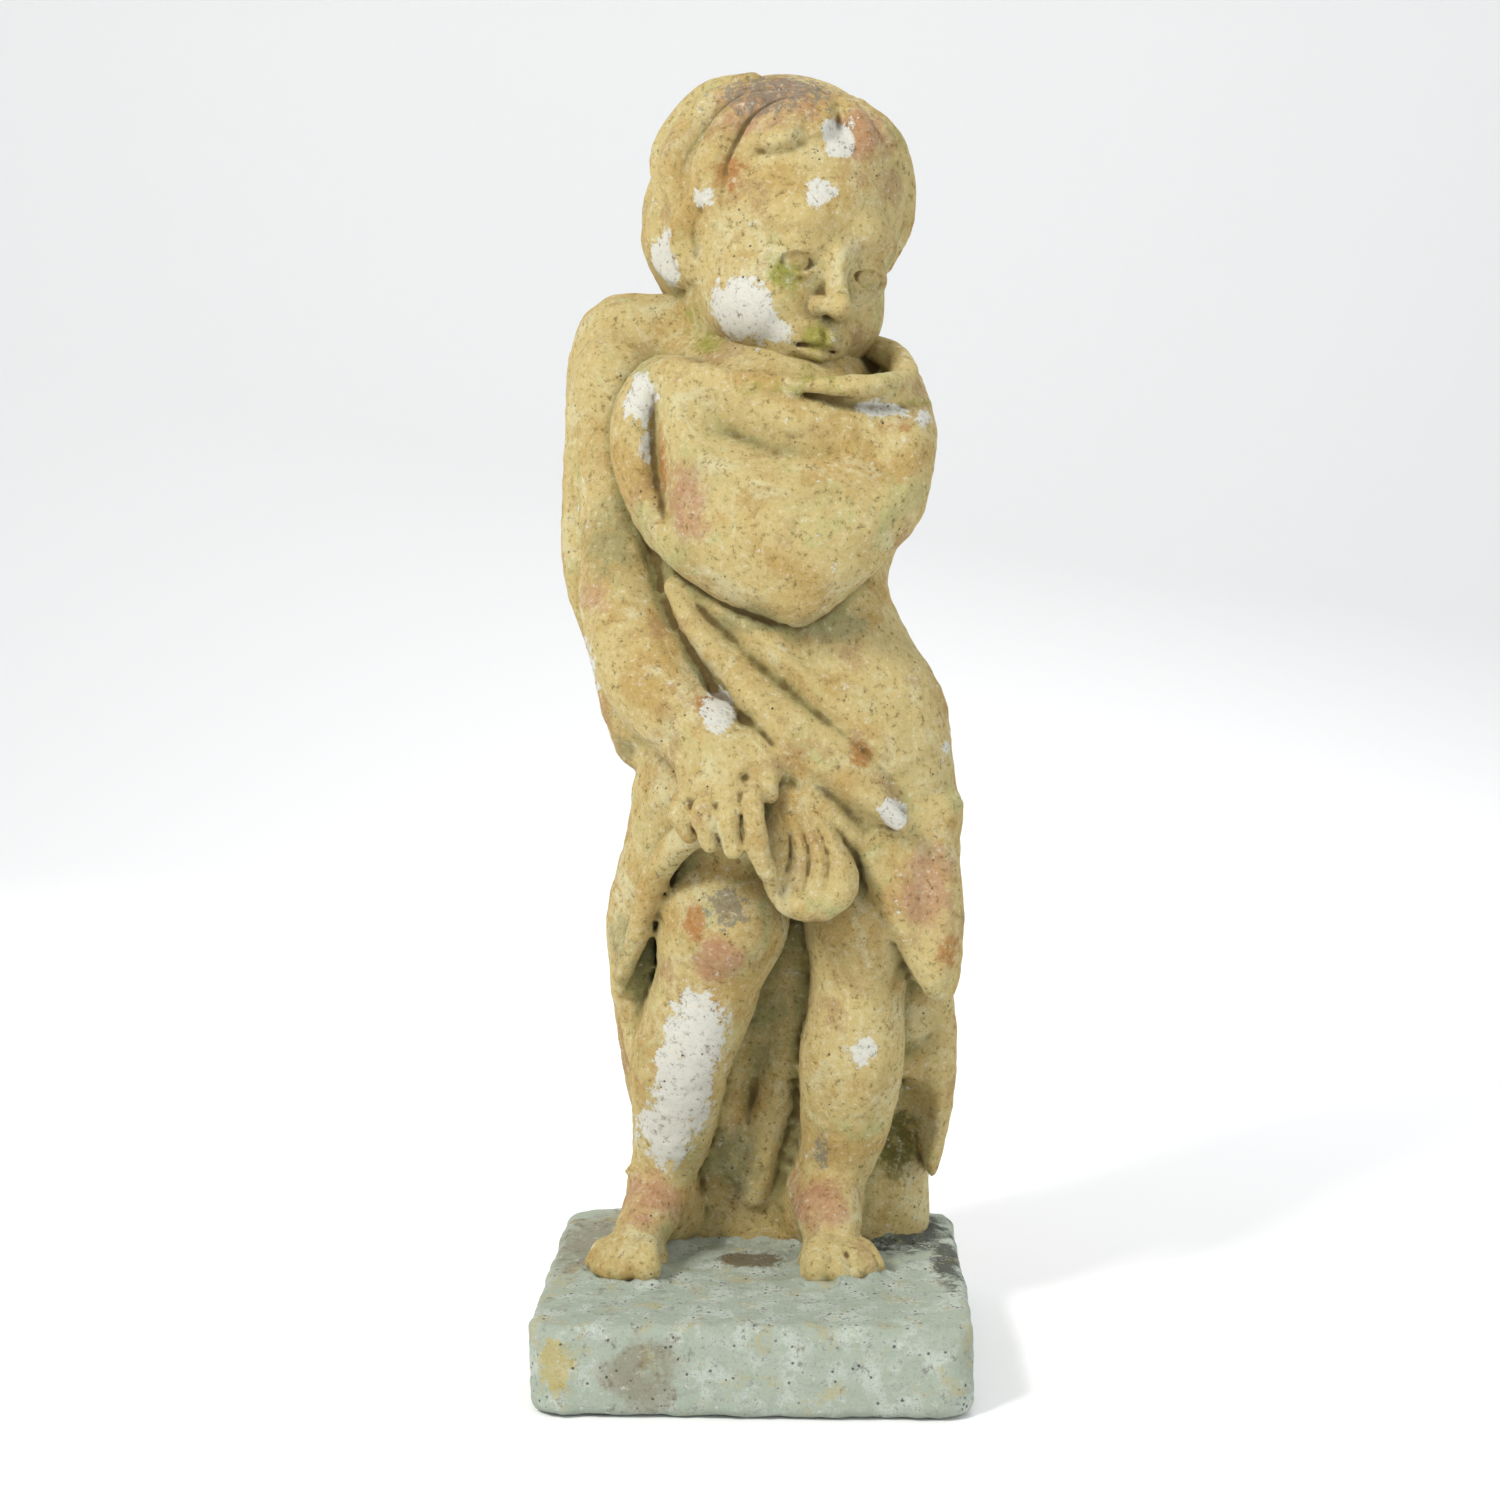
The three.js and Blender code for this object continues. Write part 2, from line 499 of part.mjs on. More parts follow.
// The long folds drawn across the belly from below the cowl to the left hip, where the strongest
// one is broken off.
function acrossFolds(clay) {
  clay.add(limb([[-36, -14, 456], [-8, -30, 420], [26, -38, 382], [62, -36, 350]], [18, 20, 20, 16]), 16);
  clay.press(stroke([[-50, 476], [-25, 457], [4, 442], [21, 425], [40, 413], [61, 402], [84, 385]], 6, -6));
  clay.press(stroke([[-44, 465], [-19, 444], [4, 421], [34, 396], [66, 371], [93, 341]], 6, 6));
  clay.press(stroke([[10, 432], [36, 408], [62, 386], [84, 364]], 7, -3));
  clay.add(limb([[-48, -32, 468], [-37, -40, 446], [-20, -46, 424], [1, -51, 401], [24, -54, 377],
    [46, -54, 359], [71, -50, 343], [86, -45, 330]], [5, 7, 8, 8, 8, 8, 7, 5]), 8);
  clay.press(stroke([[-44, 448], [-34, 428], [-23, 412], [-9, 393], [10, 374], [36, 352], [70, 326]],
    6, 3));
  clay.press(stroke([[12, 372], [24, 361], [34, 348], [51, 331], [63, 316], [72, 300]], 6, -5));
  clay.press(stroke([[38, 356], [52, 340], [66, 322], [80, 304]], 6, 3));
}

// The gathers in the right hand: pleats that fan out of it, held in by a rounded hem.
function gathers(clay) {
  const fan = [[14, 356], [28, 352], [42, 336], [53, 318], [61, 301], [59, 286], [47, 276], [32, 273],
    [17, 278], [7, 291], [4, 310], [8, 336]];
  clay.add(pillow(fan, (x, z) => -42 - Math.max(330 - z, 0) / 9, 40, 14), 5);
  for (const [top, x, foot] of [[15, 17, 288], [22, 31, 283], [29, 45, 286]]) {
    clay.press(stroke([[top, 342], [(top + x) / 2 + 3, (342 + foot) / 2], [x, foot]], 3.2, 6));
  }
  // Cloth bunched up between the thumb and the strongest fold.
  clay.add(ball([14, -52, 366], [9, 9, 12], [0, 0, 20]), 5);
}

// Behind the legs: folds that fall to the plinth, the cloth's last corner and the stump under it.
function behind(clay) {
  clay.add(limb([[25, 38, 246], [22, 36, 206], [13, 38, 160], [4, 42, 120], [-2, 46, 84]],
    [9, 11, 12, 11, 10]), 4);
  clay.add(limb([[-8, 42, 230], [-11, 38, 200], [-15, 40, 158], [-12, 46, 100]], [7, 9, 9, 8]), 5);
  clay.press(stroke([[-22, 220], [-24, 160], [-28, 100]], 8, -6, [20, 90]));
  const corner = [[76, 272], [100, 246], [121, 215], [125, 186], [124, 152], [118, 118], [110, 97],
    [98, 120], [90, 158], [78, 156], [70, 186], [68, 240]];
  clay.add(pillow(corner, (x) => 58 + (x - 100) / 6, 50, 14), 5);
  clay.press(stroke([[118, 200], [104, 184], [86, 176]], 6, 5, [0, 90]));
  clay.carve(ball([88, 30, 122], [22, 26, 40], [0, 20, 0]), 8);
  clay.add(limb([[83, 84, 40], [87, 82, 100], [94, 80, 150]], [24, 22, 20]), 6);
  clay.add(limb([[-68, 26, 300], [-74, 24, 262], [-77, 26, 220], [-72, 32, 180]], [12, 14, 13, 10]), 8);
}

function figure() {
  const clay = new Clay();
  mantle(clay);
  torso(clay);
  hips(clay);
  acrossFolds(clay);
  behind(clay);
  rightLeg(clay);
  leftLeg(clay);
  rightArm(clay);
  clay.add(cowl(), 3);
  gathers(clay);
  rightHand(clay);
  clay.add(head(), 2);
  return clay.placed();
}

// ---------------------------------------------------------------------------------------------
// From field to mesh.

// Surface nets: one vertex in each grid cell that the surface crosses, one quad across each grid
// edge that it crosses.
function polygonise(shape, cell) {
  const low = shape.low.map((v) => v - 2 * cell);
  const size = shape.high.map((v, axis) => Math.ceil((v + 2 * cell - low[axis]) / cell) + 1);
  const [nx, ny, nz] = size;
  const at = (i, j, k) => i + nx * (j + ny * k);
  const field = new Float32Array(nx * ny * nz);
  for (let k = 0; k < nz; k++)
    for (let j = 0; j < ny; j++)
      for (let i = 0; i < nx; i++)
        field[at(i, j, k)] = shape.depth(low[0] + i * cell, low[1] + j * cell, low[2] + k * cell);
  fillPinches(field, size);

  const corners = [...Array(8).keys()].map((n) => [n & 1, (n >> 1) & 1, n >> 2]);
  const edges = [[0, 1], [2, 3], [4, 5], [6, 7], [0, 2], [1, 3], [4, 6], [5, 7], [0, 4], [1, 5],
    [2, 6], [3, 7]];
  const vertexOf = new Map();
  const positions = [];
  for (let k = 0; k < nz - 1; k++)
    for (let j = 0; j < ny - 1; j++)
      for (let i = 0; i < nx - 1; i++) {
        const value = corners.map(([a, b, c]) => field[at(i + a, j + b, k + c)]);
        if (value.every((v) => v < 0) || value.every((v) => v >= 0)) continue;
        const middle = [0, 0, 0];
        let crossings = 0;
        for (const [p, q] of edges) {
          if (value[p] < 0 === value[q] < 0) continue;
          const t = value[p] / (value[p] - value[q]);
          for (let axis = 0; axis < 3; axis++)
            middle[axis] += corners[p][axis] + t * (corners[q][axis] - corners[p][axis]);
          crossings++;
        }
        vertexOf.set(at(i, j, k), positions.length / 3);
        [i, j, k].forEach((n, axis) => positions.push(low[axis] + cell * (n + middle[axis] / crossings)));
      }

  const triangles = [];
  const step = [[1, 0, 0], [0, 1, 0], [0, 0, 1]];
  for (let k = 1; k < nz - 1; k++)
    for (let j = 1; j < ny - 1; j++)
      for (let i = 1; i < nx - 1; i++)
        for (let axis = 0; axis < 3; axis++) {
          const here = field[at(i, j, k)] < 0;
          const there = field[at(i + step[axis][0], j + step[axis][1], k + step[axis][2])] < 0;
          if (here === there) continue;
          const u = step[(axis + 1) % 3];
          const v = step[(axis + 2) % 3];
          const [a, b, c, d] = [[0, 0], [1, 0], [1, 1], [0, 1]].map(([m, n]) =>
            vertexOf.get(at(i - m * u[0] - n * v[0], j - m * u[1] - n * v[1], k - m * u[2] - n * v[2])));
          if (here) triangles.push(a, b, c, a, c, d);
          else triangles.push(a, c, b, a, d, c);
        }
  return { positions, triangles };
}

// Where two parts of the body would meet only along a line, the corner between them is filled.
function fillPinches(field, [nx, ny, nz]) {
  const strides = [1, nx, nx * ny];
  const pairs = [[0, 1], [0, 2], [1, 2]].map(([p, q]) => [strides[p], strides[q]]);
  const last = (nz - 1) * strides[2] - strides[1] - 1;
  for (let filled = true; filled; ) {
    filled = false;
    for (let n = 0; n < last; n++)
      for (const [u, v] of pairs) {
        const square = [n, n + u, n + u + v, n + v];
        const [a, b, c, d] = square.map((m) => field[m] < 0);
        if (a === b || a !== c || b !== d) continue;
        for (const m of square) field[m] = Math.min(field[m], -0.1);
        filled = true;
      }
  }
}

// Thinning. Each vertex keeps the squared distances to the planes of its first faces, as the ten
// numbers of a symmetric 4 x 4 matrix. In each round every vertex is merged with the neighbour
// that costs least, if that is under the round's limit, until target triangles are left.
function thin({ positions, triangles }, target) {
  const points = [];
  for (let i = 0; i < positions.length; i += 3) points.push(positions.slice(i, i + 3));
  const faces = [];
  for (let i = 0; i < triangles.length; i += 3) faces.push(triangles.slice(i, i + 3));
  const around = points.map(() => new Set());
  const errors = points.map(() => new Float64Array(10));
  faces.forEach((face, f) => {
    const plane = planeError(...face.map((v) => points[v]));
    for (const v of face) {
      around[v].add(f);
      plane.forEach((value, i) => (errors[v][i] += value));
    }
  });
  const mesh = { points, faces, around, errors };
  let left = faces.length;
  for (let limit = 1; left > target; limit *= 1.5) {
    for (let v = 0; v < points.length && left > target; v++) {
      const merge = cheapest(mesh, v, limit);
      if (merge) left -= collapse(mesh, v, merge);
    }
  }
  return compact(mesh);
}

// Of the edges from v to a higher vertex, the one that costs least to merge.
function cheapest(mesh, v, limit) {
  let best = null;
  for (const w of neighbours(mesh, v)) {
    if (w < v) continue;
    const error = mesh.errors[v].map((value, i) => value + mesh.errors[w][i]);
    const point = lowestPoint(error, mesh.points[v], mesh.points[w]);
    const cost = errorAt(error, point);
    if (cost > limit || (best && cost > best.cost)) continue;
    if (staysClosed(mesh, v, w) && staysUnfolded(mesh, v, w, point)) best = { w, point, error, cost };
  }
  return best;
}

function neighbours({ around, faces }, v) {
  return new Set([...around[v]].flatMap((f) => faces[f]).filter((w) => w !== v));
}

// An edge can go if only the two corners opposite it are joined to both its ends.
function staysClosed(mesh, v, w) {
  const other = neighbours(mesh, w);
  return [...neighbours(mesh, v)].filter((n) => other.has(n)).length === 2;
}

function staysUnfolded({ faces, around, points }, v, w, point) {
  for (const f of new Set([...around[v], ...around[w]])) {
    const face = faces[f];
    if (face.includes(v) && face.includes(w)) continue;
    const before = normalOf(...face.map((n) => points[n]));
    const after = normalOf(...face.map((n) => (n === v || n === w ? point : points[n])));
    if (after.length() < 0.5 || before.normalize().dot(after.normalize()) < 0.5) return false;
  }
  return true;
}

function collapse({ points, faces, around, errors }, v, { w, point, error }) {
  let gone = 0;
  for (const f of around[w]) {
    if (faces[f].includes(v)) {
      for (const n of faces[f]) if (n !== w) around[n].delete(f);
      faces[f] = null;
      gone++;
    } else {
      faces[f] = faces[f].map((n) => (n === w ? v : n));
      around[v].add(f);
    }
  }
  around[w].clear();
  points[v] = point;
  errors[v] = error;
  return gone;
}

function compact({ points, faces }) {
  const kept = faces.filter(Boolean);
  const index = new Map();
  for (const v of kept.flat()) if (!index.has(v)) index.set(v, index.size);
  return {
    positions: [...index.keys()].flatMap((v) => points[v]),
    triangles: kept.flat().map((v) => index.get(v)),
  };
}

function normalOf(a, b, c) {
  const [p, q, r] = [a, b, c].map((v) => new THREE.Vector3(...v));
  return q.sub(p).cross(r.sub(p));
}

// The plane of a triangle, weighted by its area, and a weak pull to each of its corners that
// keeps flat places even.
function planeError(a, b, c) {
  const normal = normalOf(a, b, c);
  const area = normal.length() / 2;
  const { x, y, z } = normal.normalize();
  const w = -(x * a[0] + y * a[1] + z * a[2]);
  return [x * x, x * y, x * z, x * w, y * y, y * z, y * w, z * z, z * w, w * w].map((v) => v * area);
}

function errorAt(q, [x, y, z]) {
  return q[0] * x * x + q[4] * y * y + q[7] * z * z + q[9]
    + 2 * (q[1] * x * y + q[2] * x * z + q[5] * y * z + q[3] * x + q[6] * y + q[8] * z);
}

// The point where an error is least, held near the middle of a and b by a weak pull.
function lowestPoint(q, a, b) {
  const pull = 0.01 * (q[0] + q[4] + q[7]) + 1e-9;
  const middle = a.map((v, axis) => (v + b[axis]) / 2);
  const matrix = new THREE.Matrix3().set(
    q[0] + pull, q[1], q[2], q[1], q[4] + pull, q[5], q[2], q[5], q[7] + pull);
  const side = new THREE.Vector3(
    pull * middle[0] - q[3], pull * middle[1] - q[6], pull * middle[2] - q[8]);
  return side.applyMatrix3(matrix.invert()).toArray();
}

// ---------------------------------------------------------------------------------------------
// Solids.

function geometryOf({ positions, triangles }) {
  const geometry = new THREE.BufferGeometry();
  geometry.setAttribute("position", new THREE.Float32BufferAttribute(positions, 3));
  geometry.setIndex([...triangles]);
  return geometry;
}

function plinthGeometry() {
  const { width, depth, height, corner, edge } = PLINTH;
  const [x, y, r] = [width / 2 - edge, depth / 2 - edge, corner - edge];
  const plan = new THREE.Shape();
  plan.absarc(x - r, y - r, r, 0, Math.PI / 2);
  plan.absarc(r - x, y - r, r, Math.PI / 2, Math.PI);
  plan.absarc(r - x, r - y, r, Math.PI, 1.5 * Math.PI);
  plan.absarc(x - r, r - y, r, 1.5 * Math.PI, 2 * Math.PI);
  const slab = new THREE.ExtrudeGeometry(plan, {
    depth: height - 2 * edge, bevelSize: edge, bevelThickness: edge, bevelSegments: 3, curveSegments: 6 });
  slab.translate(0, 0, edge);
  return closed(slab);
}

function closed(geometry) {
  geometry.deleteAttribute("normal");
  geometry.deleteAttribute("uv");
  return mergeVertices(geometry, 1e-3);
}

function solidOf(wasm, geometry) {
  return new wasm.Manifold(new wasm.Mesh({
    numProp: 3,
    vertProperties: Float32Array.from(geometry.getAttribute("position").array),
    triVerts: Uint32Array.from(geometry.getIndex().array),
  }));
}

// The figure, cut flat where it stands on the plinth.
async function figureGeometry() {
  const wasm = await Module();
  wasm.setup();
  const whole = thin(polygonise(figure(), CELL), FIGURE_TRIANGLES);
  const under = new THREE.BoxGeometry(PLINTH.width, PLINTH.depth, PLINTH.height);
  under.translate(0, 0, PLINTH.height / 2);
  const cut = solidOf(wasm, geometryOf(whole)).subtract(solidOf(wasm, closed(under))).getMesh();
  return geometryOf({ positions: cut.vertProperties, triangles: cut.triVerts });
}

const LIMESTONE = new THREE.MeshStandardMaterial({ color: 0xc9b27c, roughness: 0.92, metalness: 0 });
const PLINTH_STONE = new THREE.MeshStandardMaterial({ color: 0x8f9a92, roughness: 0.94, metalness: 0 });

function piece(name, geometry, material) {
  geometry.computeVertexNormals();
  const mesh = new THREE.Mesh(geometry, material);
  mesh.name = name;
  return mesh;
}

const statue = new THREE.Group();
statue.add(piece("plinth", plinthGeometry(), PLINTH_STONE));
statue.add(piece("putto", await figureGeometry(), LIMESTONE));

export default statue;
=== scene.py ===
"""A weathered stone putto on its plinth: the looks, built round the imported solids.

The figure is modelled again as a signed distance field of named forms, in the design's own
millimetres, finely enough for its worn surface, its eyelids and the pleats in its hand. Where it
stands and how big it is come from the frame. The child faces -Y, and "right" and "left" in the
names are its own. The head is a piece of its own, which meets the body inside the neck.
"""

import math

import bpy
import numpy as np
from mathutils import Euler, Matrix, Vector


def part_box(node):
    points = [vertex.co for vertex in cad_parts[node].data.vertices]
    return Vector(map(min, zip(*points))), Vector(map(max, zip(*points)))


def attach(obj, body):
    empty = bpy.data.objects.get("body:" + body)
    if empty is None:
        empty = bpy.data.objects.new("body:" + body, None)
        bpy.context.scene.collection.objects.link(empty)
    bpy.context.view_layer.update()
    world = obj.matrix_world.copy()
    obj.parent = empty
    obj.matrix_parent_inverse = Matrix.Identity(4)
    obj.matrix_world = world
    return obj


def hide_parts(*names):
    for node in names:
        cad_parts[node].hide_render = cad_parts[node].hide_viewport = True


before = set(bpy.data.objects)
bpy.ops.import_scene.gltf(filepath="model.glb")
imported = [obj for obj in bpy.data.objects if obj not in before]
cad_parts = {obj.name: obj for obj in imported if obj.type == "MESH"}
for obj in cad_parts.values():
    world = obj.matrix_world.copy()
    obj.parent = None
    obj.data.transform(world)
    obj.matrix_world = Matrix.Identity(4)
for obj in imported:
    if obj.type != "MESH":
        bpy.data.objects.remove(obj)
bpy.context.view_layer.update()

rng = np.random.default_rng(7)

# The design is in millimetres on a plinth this high and wide; the frame says how big it is here.
PLINTH_HEIGHT = 53
PLINTH_WIDTH = 254
plinth_low, plinth_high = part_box("plinth")
UNIT = (plinth_high[0] - plinth_low[0]) / PLINTH_WIDTH
CENTRE = Vector((
    (plinth_low[0] + plinth_high[0]) / 2,
    (plinth_low[1] + plinth_high[1]) / 2,
    plinth_low[2],
))
TO_WORLD = Matrix.Translation(CENTRE) @ Matrix.Scale(UNIT, 4)

# The spacing of the grids that the stone is polygonised on, how rough each piece is, and how many
# triangles a piece may have.
BODY_CELL = 2.1
HEAD_CELL = 1.35
PLINTH_CELL = 2.0
BODY_ROUGH = 1.0
HEAD_ROUGH = 0.28
PLINTH_ROUGH = 1.3
MOST_TRIANGLES = 196000

# The relief of the worn surface: [size of its lumps, their height]. Pits are cut where lumps of
# PIT_SIZE are taller than PIT_FROM.
RELIEF = [[15, 0.42], [6.5, 0.3], [3.6, 0.3]]
PIT_SIZE = 4.6
PIT_DEPTH = 1.8
PIT_FROM = 1.45
LUMP_GAIN = 2.2  # makes up for what smoothing takes from the random values
HOLLOW_REACH = 13  # how far a hollow and a crease look around themselves
CREASE_REACH = 4.2

# Straight steps to each span of a smooth curve.
LIMB_STEPS = 5
LOFT_STEPS = 8
RING_STEPS = 4

FAR = 60  # the depth where no step of a clay reaches
REACH = 12  # how far past its blend a step is still worked out


# ---------------------------------------------------------------------------------------------
# Shapes. Each has a box, low and high, and a depth: about the distance to its surface, negative
# inside, on a grid given by its three axes.


class Shape:
    def __init__(self, low, high, depth):
        self.low = np.asarray(low, float)
        self.high = np.asarray(high, float)
        self.depth = depth


def spread(axes):
    """The axes of a grid as x, y and z, ready to be combined."""
    x, y, z = axes
    return x[:, None, None], y[None, :, None], z[None, None, :]


def smooth_line(points, steps, closed=False):
    """Points along a Catmull-Rom curve through the given ones."""
    p = np.asarray(points, float)
    n = len(p)
    if closed:
        p = np.vstack([p[-1], p, p[0], p[1]])
        t = np.arange(steps) * (n / steps)
    else:
        p = np.vstack([2 * p[0] - p[1], p, 2 * p[-1] - p[-2]])
        t = np.arange(steps + 1) * ((n - 1) / steps)
    i = np.minimum(t.astype(int), len(p) - 4)
    t = (t - i)[:, None]
    a, b, c, d = p[i], p[i + 1], p[i + 2], p[i + 3]
    return b + 0.5 * t * (c - a + t * (2 * a - 5 * b + 4 * c - d + t * (3 * (b - c) + d - a)))


def ball(centre, radii, turn=(0, 0, 0)):
    """An ellipsoid, turned by angles in degrees about X, then Y, then Z."""
    r = np.broadcast_to(np.asarray(radii, float), 3)
    m = np.array(Euler([math.radians(a) for a in turn], "XYZ").to_matrix())

    def depth(axes):
        x, y, z = [a - c for a, c in zip(spread(axes), centre)]
        local = [m[0, k] * x + m[1, k] * y + m[2, k] * z for k in range(3)]
        k0 = np.sqrt(sum((v / s) ** 2 for v, s in zip(local, r)))
        k1 = np.sqrt(sum((v / s**2) ** 2 for v, s in zip(local, r)))
        return np.where(k1 < 1e-9, -r.min(), k0 * (k0 - 1) / np.maximum(k1, 1e-9))

    return Shape(np.subtract(centre, r.max()), np.add(centre, r.max()), depth)


def limb(points, radii, flat=1):
    """A tube with a radius at each point of a smooth curve. flat is its thickness along Y as a
    share of its width."""
    steps = LIMB_STEPS * (len(points) - 1) if len(points) > 2 else 1
    line = smooth_line([[x, y / flat, z] for x, y, z in points], steps)
    size = smooth_line([[r] for r in radii], steps)[:, 0]

    def depth(axes):
        x, y, z = spread(axes)
        best = np.float32(FAR * 9)
        for a, b, ra, rb in zip(line, line[1:], size, size[1:]):
            e = b - a
            px, py, pz = x - a[0], y / flat - a[1], z - a[2]
            t = np.clip((px * e[0] + py * e[1] + pz * e[2]) / (e @ e), 0, 1)
            gap = np.sqrt((px - t * e[0]) ** 2 + (py - t * e[1]) ** 2 + (pz - t * e[2]) ** 2)
            best = np.minimum(best, gap - ra - t * (rb - ra))
        return best * min(1, flat)

    held = line * [1, flat, 1]
    reach = max(radii) * max(1, flat)
    return Shape(held.min(axis=0) - reach, held.max(axis=0) + reach, depth)


def loft(stations, n, flutes=(), round=18):
    """A body around the Z direction: stations of [z, centre x, centre y, half width, half depth],
    joined smoothly, with rounded squareness n and flutes whose angle, at, is in degrees from the
    back (+Y) towards +X."""
    s = np.asarray(stations, float)
    steps = LOFT_STEPS * (len(s) - 1)
    fine = smooth_line(s, steps)
    fine[:, 0] = np.interp(np.linspace(0, len(s) - 1, steps + 1), np.arange(len(s)), s[:, 0])
    fine = fine[::-1]
    low, high = s[-1, 0], s[0, 0]
    reach = max([abs(f["rise"]) for f in flutes] + [0])

    def depth(axes):
        x, y, z = spread(axes)
        cx, cy, rx, ry = [np.interp(axes[2], fine[:, 0], fine[:, k])[None, None, :] for k in (1, 2, 3, 4)]
        u, v = x - cx, y - cy
        span = np.hypot(u, v)
        m = (np.abs(u / rx) ** n + np.abs(v / ry) ** n) ** (1 / n)
        d = np.where(m < 1e-6, -np.minimum(rx, ry), span - span / np.maximum(m, 1e-6))
        if flutes:
            angle = np.degrees(np.arctan2(u, v))
            for f in flutes:
                d = d - flute_rise(f, angle, z)
        return smooth_max(d * 0.9, np.maximum(z - high, low - z) + 0 * d, round)

    sides = s[:, 1:3], s[:, 3:5] + reach + 2
    lowest = np.append((sides[0] - sides[1]).min(axis=0), low - 2)
    highest = np.append((sides[0] + sides[1]).max(axis=0), high + 2)
    return Shape(lowest, highest, depth)


def flute_rise(f, angle, z):
    part = np.clip((z - f["low"]) / (f["high"] - f["low"]), 0, 1)
    share = np.clip((z - f["low"] + 25) / (f["high"] - f["low"] + 50), 0, 1)
    fade = np.abs(np.sin(np.pi * share)) ** 0.5
    away = angle - f["at"] - f["drift"] * part
    away = away - 360 * np.round(away / 360)
    return f["rise"] * fade * np.exp(-((away / f["width"]) ** 2))


def pillow(outline, middle, thick, edge):
    """A pillow over a closed outline of [x, z] points: its middle lies at y = middle(x, z), it is
    thick through, and its rim is rounded by edge."""
    ring = smooth_line(outline, RING_STEPS * len(outline), closed=True)

    def depth(axes):
        x, z = axes[0][:, None], axes[2][None, :]
        inset = (ring_distance(ring, x, z) + edge)[:, None, :]
        mid = np.broadcast_to(middle(x, z), np.broadcast(x, z).shape)[:, None, :]
        over = np.abs(axes[1][None, :, None] - mid) - (thick / 2 - edge)
        outside = np.hypot(np.maximum(inset, 0), np.maximum(over, 0))
        return np.minimum(np.maximum(inset, over), 0) + outside - edge

    y = np.array([middle(px, pz) for px, pz in ring])
    low = [ring[:, 0].min() - 1, y.min() - thick / 2 - 1, ring[:, 1].min() - 1]
    high = [ring[:, 0].max() + 1, y.max() + thick / 2 + 1, ring[:, 1].max() + 1]
    return Shape(low, high, depth)


def ring_distance(ring, x, z):
    best = np.full(np.broadcast(x, z).shape, np.inf)
    inside = np.zeros(best.shape, bool)
    for a, b in zip(np.roll(ring, 1, axis=0), ring):
        best = np.minimum(best, stretch_distance(a, b, x, z)[0])
        if a[1] != b[1]:
            edge_x = (b[0] - a[0]) * (z - a[1]) / (b[1] - a[1]) + a[0]
            inside ^= ((a[1] > z) != (b[1] > z)) & (x < edge_x)
    return np.where(inside, -best, best)


def stretch_distance(a, b, x, z):
    """How far x, z is from the stretch a to b, and the share of it where it is nearest."""
    e = b - a
    t = np.clip(((x - a[0]) * e[0] + (z - a[1]) * e[1]) / (e @ e), 0, 1)
    return np.hypot(x - a[0] - t * e[0], z - a[1] - t * e[1]), t


# The surfaces that a stroke marks, as the y they lie between.
FRONT = (-200, 40)
BACK = (40, 200)


def stroke(points, width, deep, between=FRONT):
    """A groove with its greatest depth on a smooth line of [x, z] points, as seen along Y, that
    fades over a width to each side and towards its ends. A negative depth raises a ridge."""
    fine = LIMB_STEPS * (len(points) - 1)
    line = smooth_line(points, fine)
    start, end = between

    def depth(axes):
        x, z = axes[0][:, None], axes[2][None, :]
        best = np.full(np.broadcast(x, z).shape, np.inf)
        where = np.zeros(best.shape)
        for i, (a, b) in enumerate(zip(line, line[1:])):
            gap, t = stretch_distance(a, b, x, z)
            nearer = gap < best
            best = np.where(nearer, gap, best)
            where = np.where(nearer, (i + t) / fine, where)
        taper = np.sin(np.pi * np.clip(where * 0.92 + 0.04, 0, 1)) ** 0.6
        y = axes[1][None, :, None]
        within = np.clip((y - start) / 10, 0, 1) * np.clip((end - y) / 10, 0, 1)
        return (deep * taper * np.exp(-((best / width) ** 1.6)))[:, None, :] * within

    low = [line[:, 0].min() - 2.5 * width, start, line[:, 1].min() - 2.5 * width]
    high = [line[:, 0].max() + 2.5 * width, end, line[:, 1].max() + 2.5 * width]
    return Shape(low, high, depth)


# ---------------------------------------------------------------------------------------------
# Modelling. A clay is a list of steps, and add, carve and press are what is done to it. soft is
# the width in millimetres over which a step blends into what is there.


def smooth_min(a, b, soft):
    h = np.maximum(soft - np.abs(a - b), 0) / soft
    return np.minimum(a, b) - h * h * soft / 4


def smooth_max(a, b, soft):
    return -smooth_min(-a, -b, soft)


class Clay:
    def __init__(self):
        self.steps = []

    def add(self, shape, soft=6):
        self.steps.append((shape, soft, 1))

    def carve(self, shape, soft=6):
        self.steps.append((shape, soft, -1))

    def press(self, mark):
        self.steps.append((mark, 1, 0))

    def placed(self):
        """The clay as a shape."""
        added = [shape for shape, _, side in self.steps if side > 0]
        low = np.min([shape.low for shape in added], axis=0)
        high = np.max([shape.high for shape in added], axis=0)
        return Shape(low, high, self.depth)

    def depth(self, axes):
        d = np.full([len(a) for a in axes], FAR, np.float32)
        for shape, soft, side in self.steps:
            margin = soft + REACH
            spans = zip(axes, shape.low, shape.high)
            window = tuple(slice(*np.searchsorted(a, (lo - margin, hi + margin))) for a, lo, hi in spans)
            part = [a[w] for a, w in zip(axes, window)]
            if min(len(a) for a in part) == 0:
                continue
            s = shape.depth(part)
            if side == 0:
                d[window] += s
            elif side > 0:
                d[window] = smooth_min(d[window], s, soft)
            else:
                d[window] = smooth_max(d[window], -s, soft)
        return d


# ---------------------------------------------------------------------------------------------
# The head, about its own middle, facing -Y before it is turned into place.


def skull(head):
    head.add(ball([0, 10, 14], [68, 77, 74]), 1)
    head.add(ball([0, -16, -32], [54, 51, 50]), 24)
    for side in [-1, 1]:
        head.add(ball([side * 28, -38, -44], [25, 25, 24]), 18)
    head.add(ball([0, -49, -73], [16, 13, 12]), 16)
    head.add(limb([[0, 20, -40], [-6, 30, -110]], [38, 44]), 20)


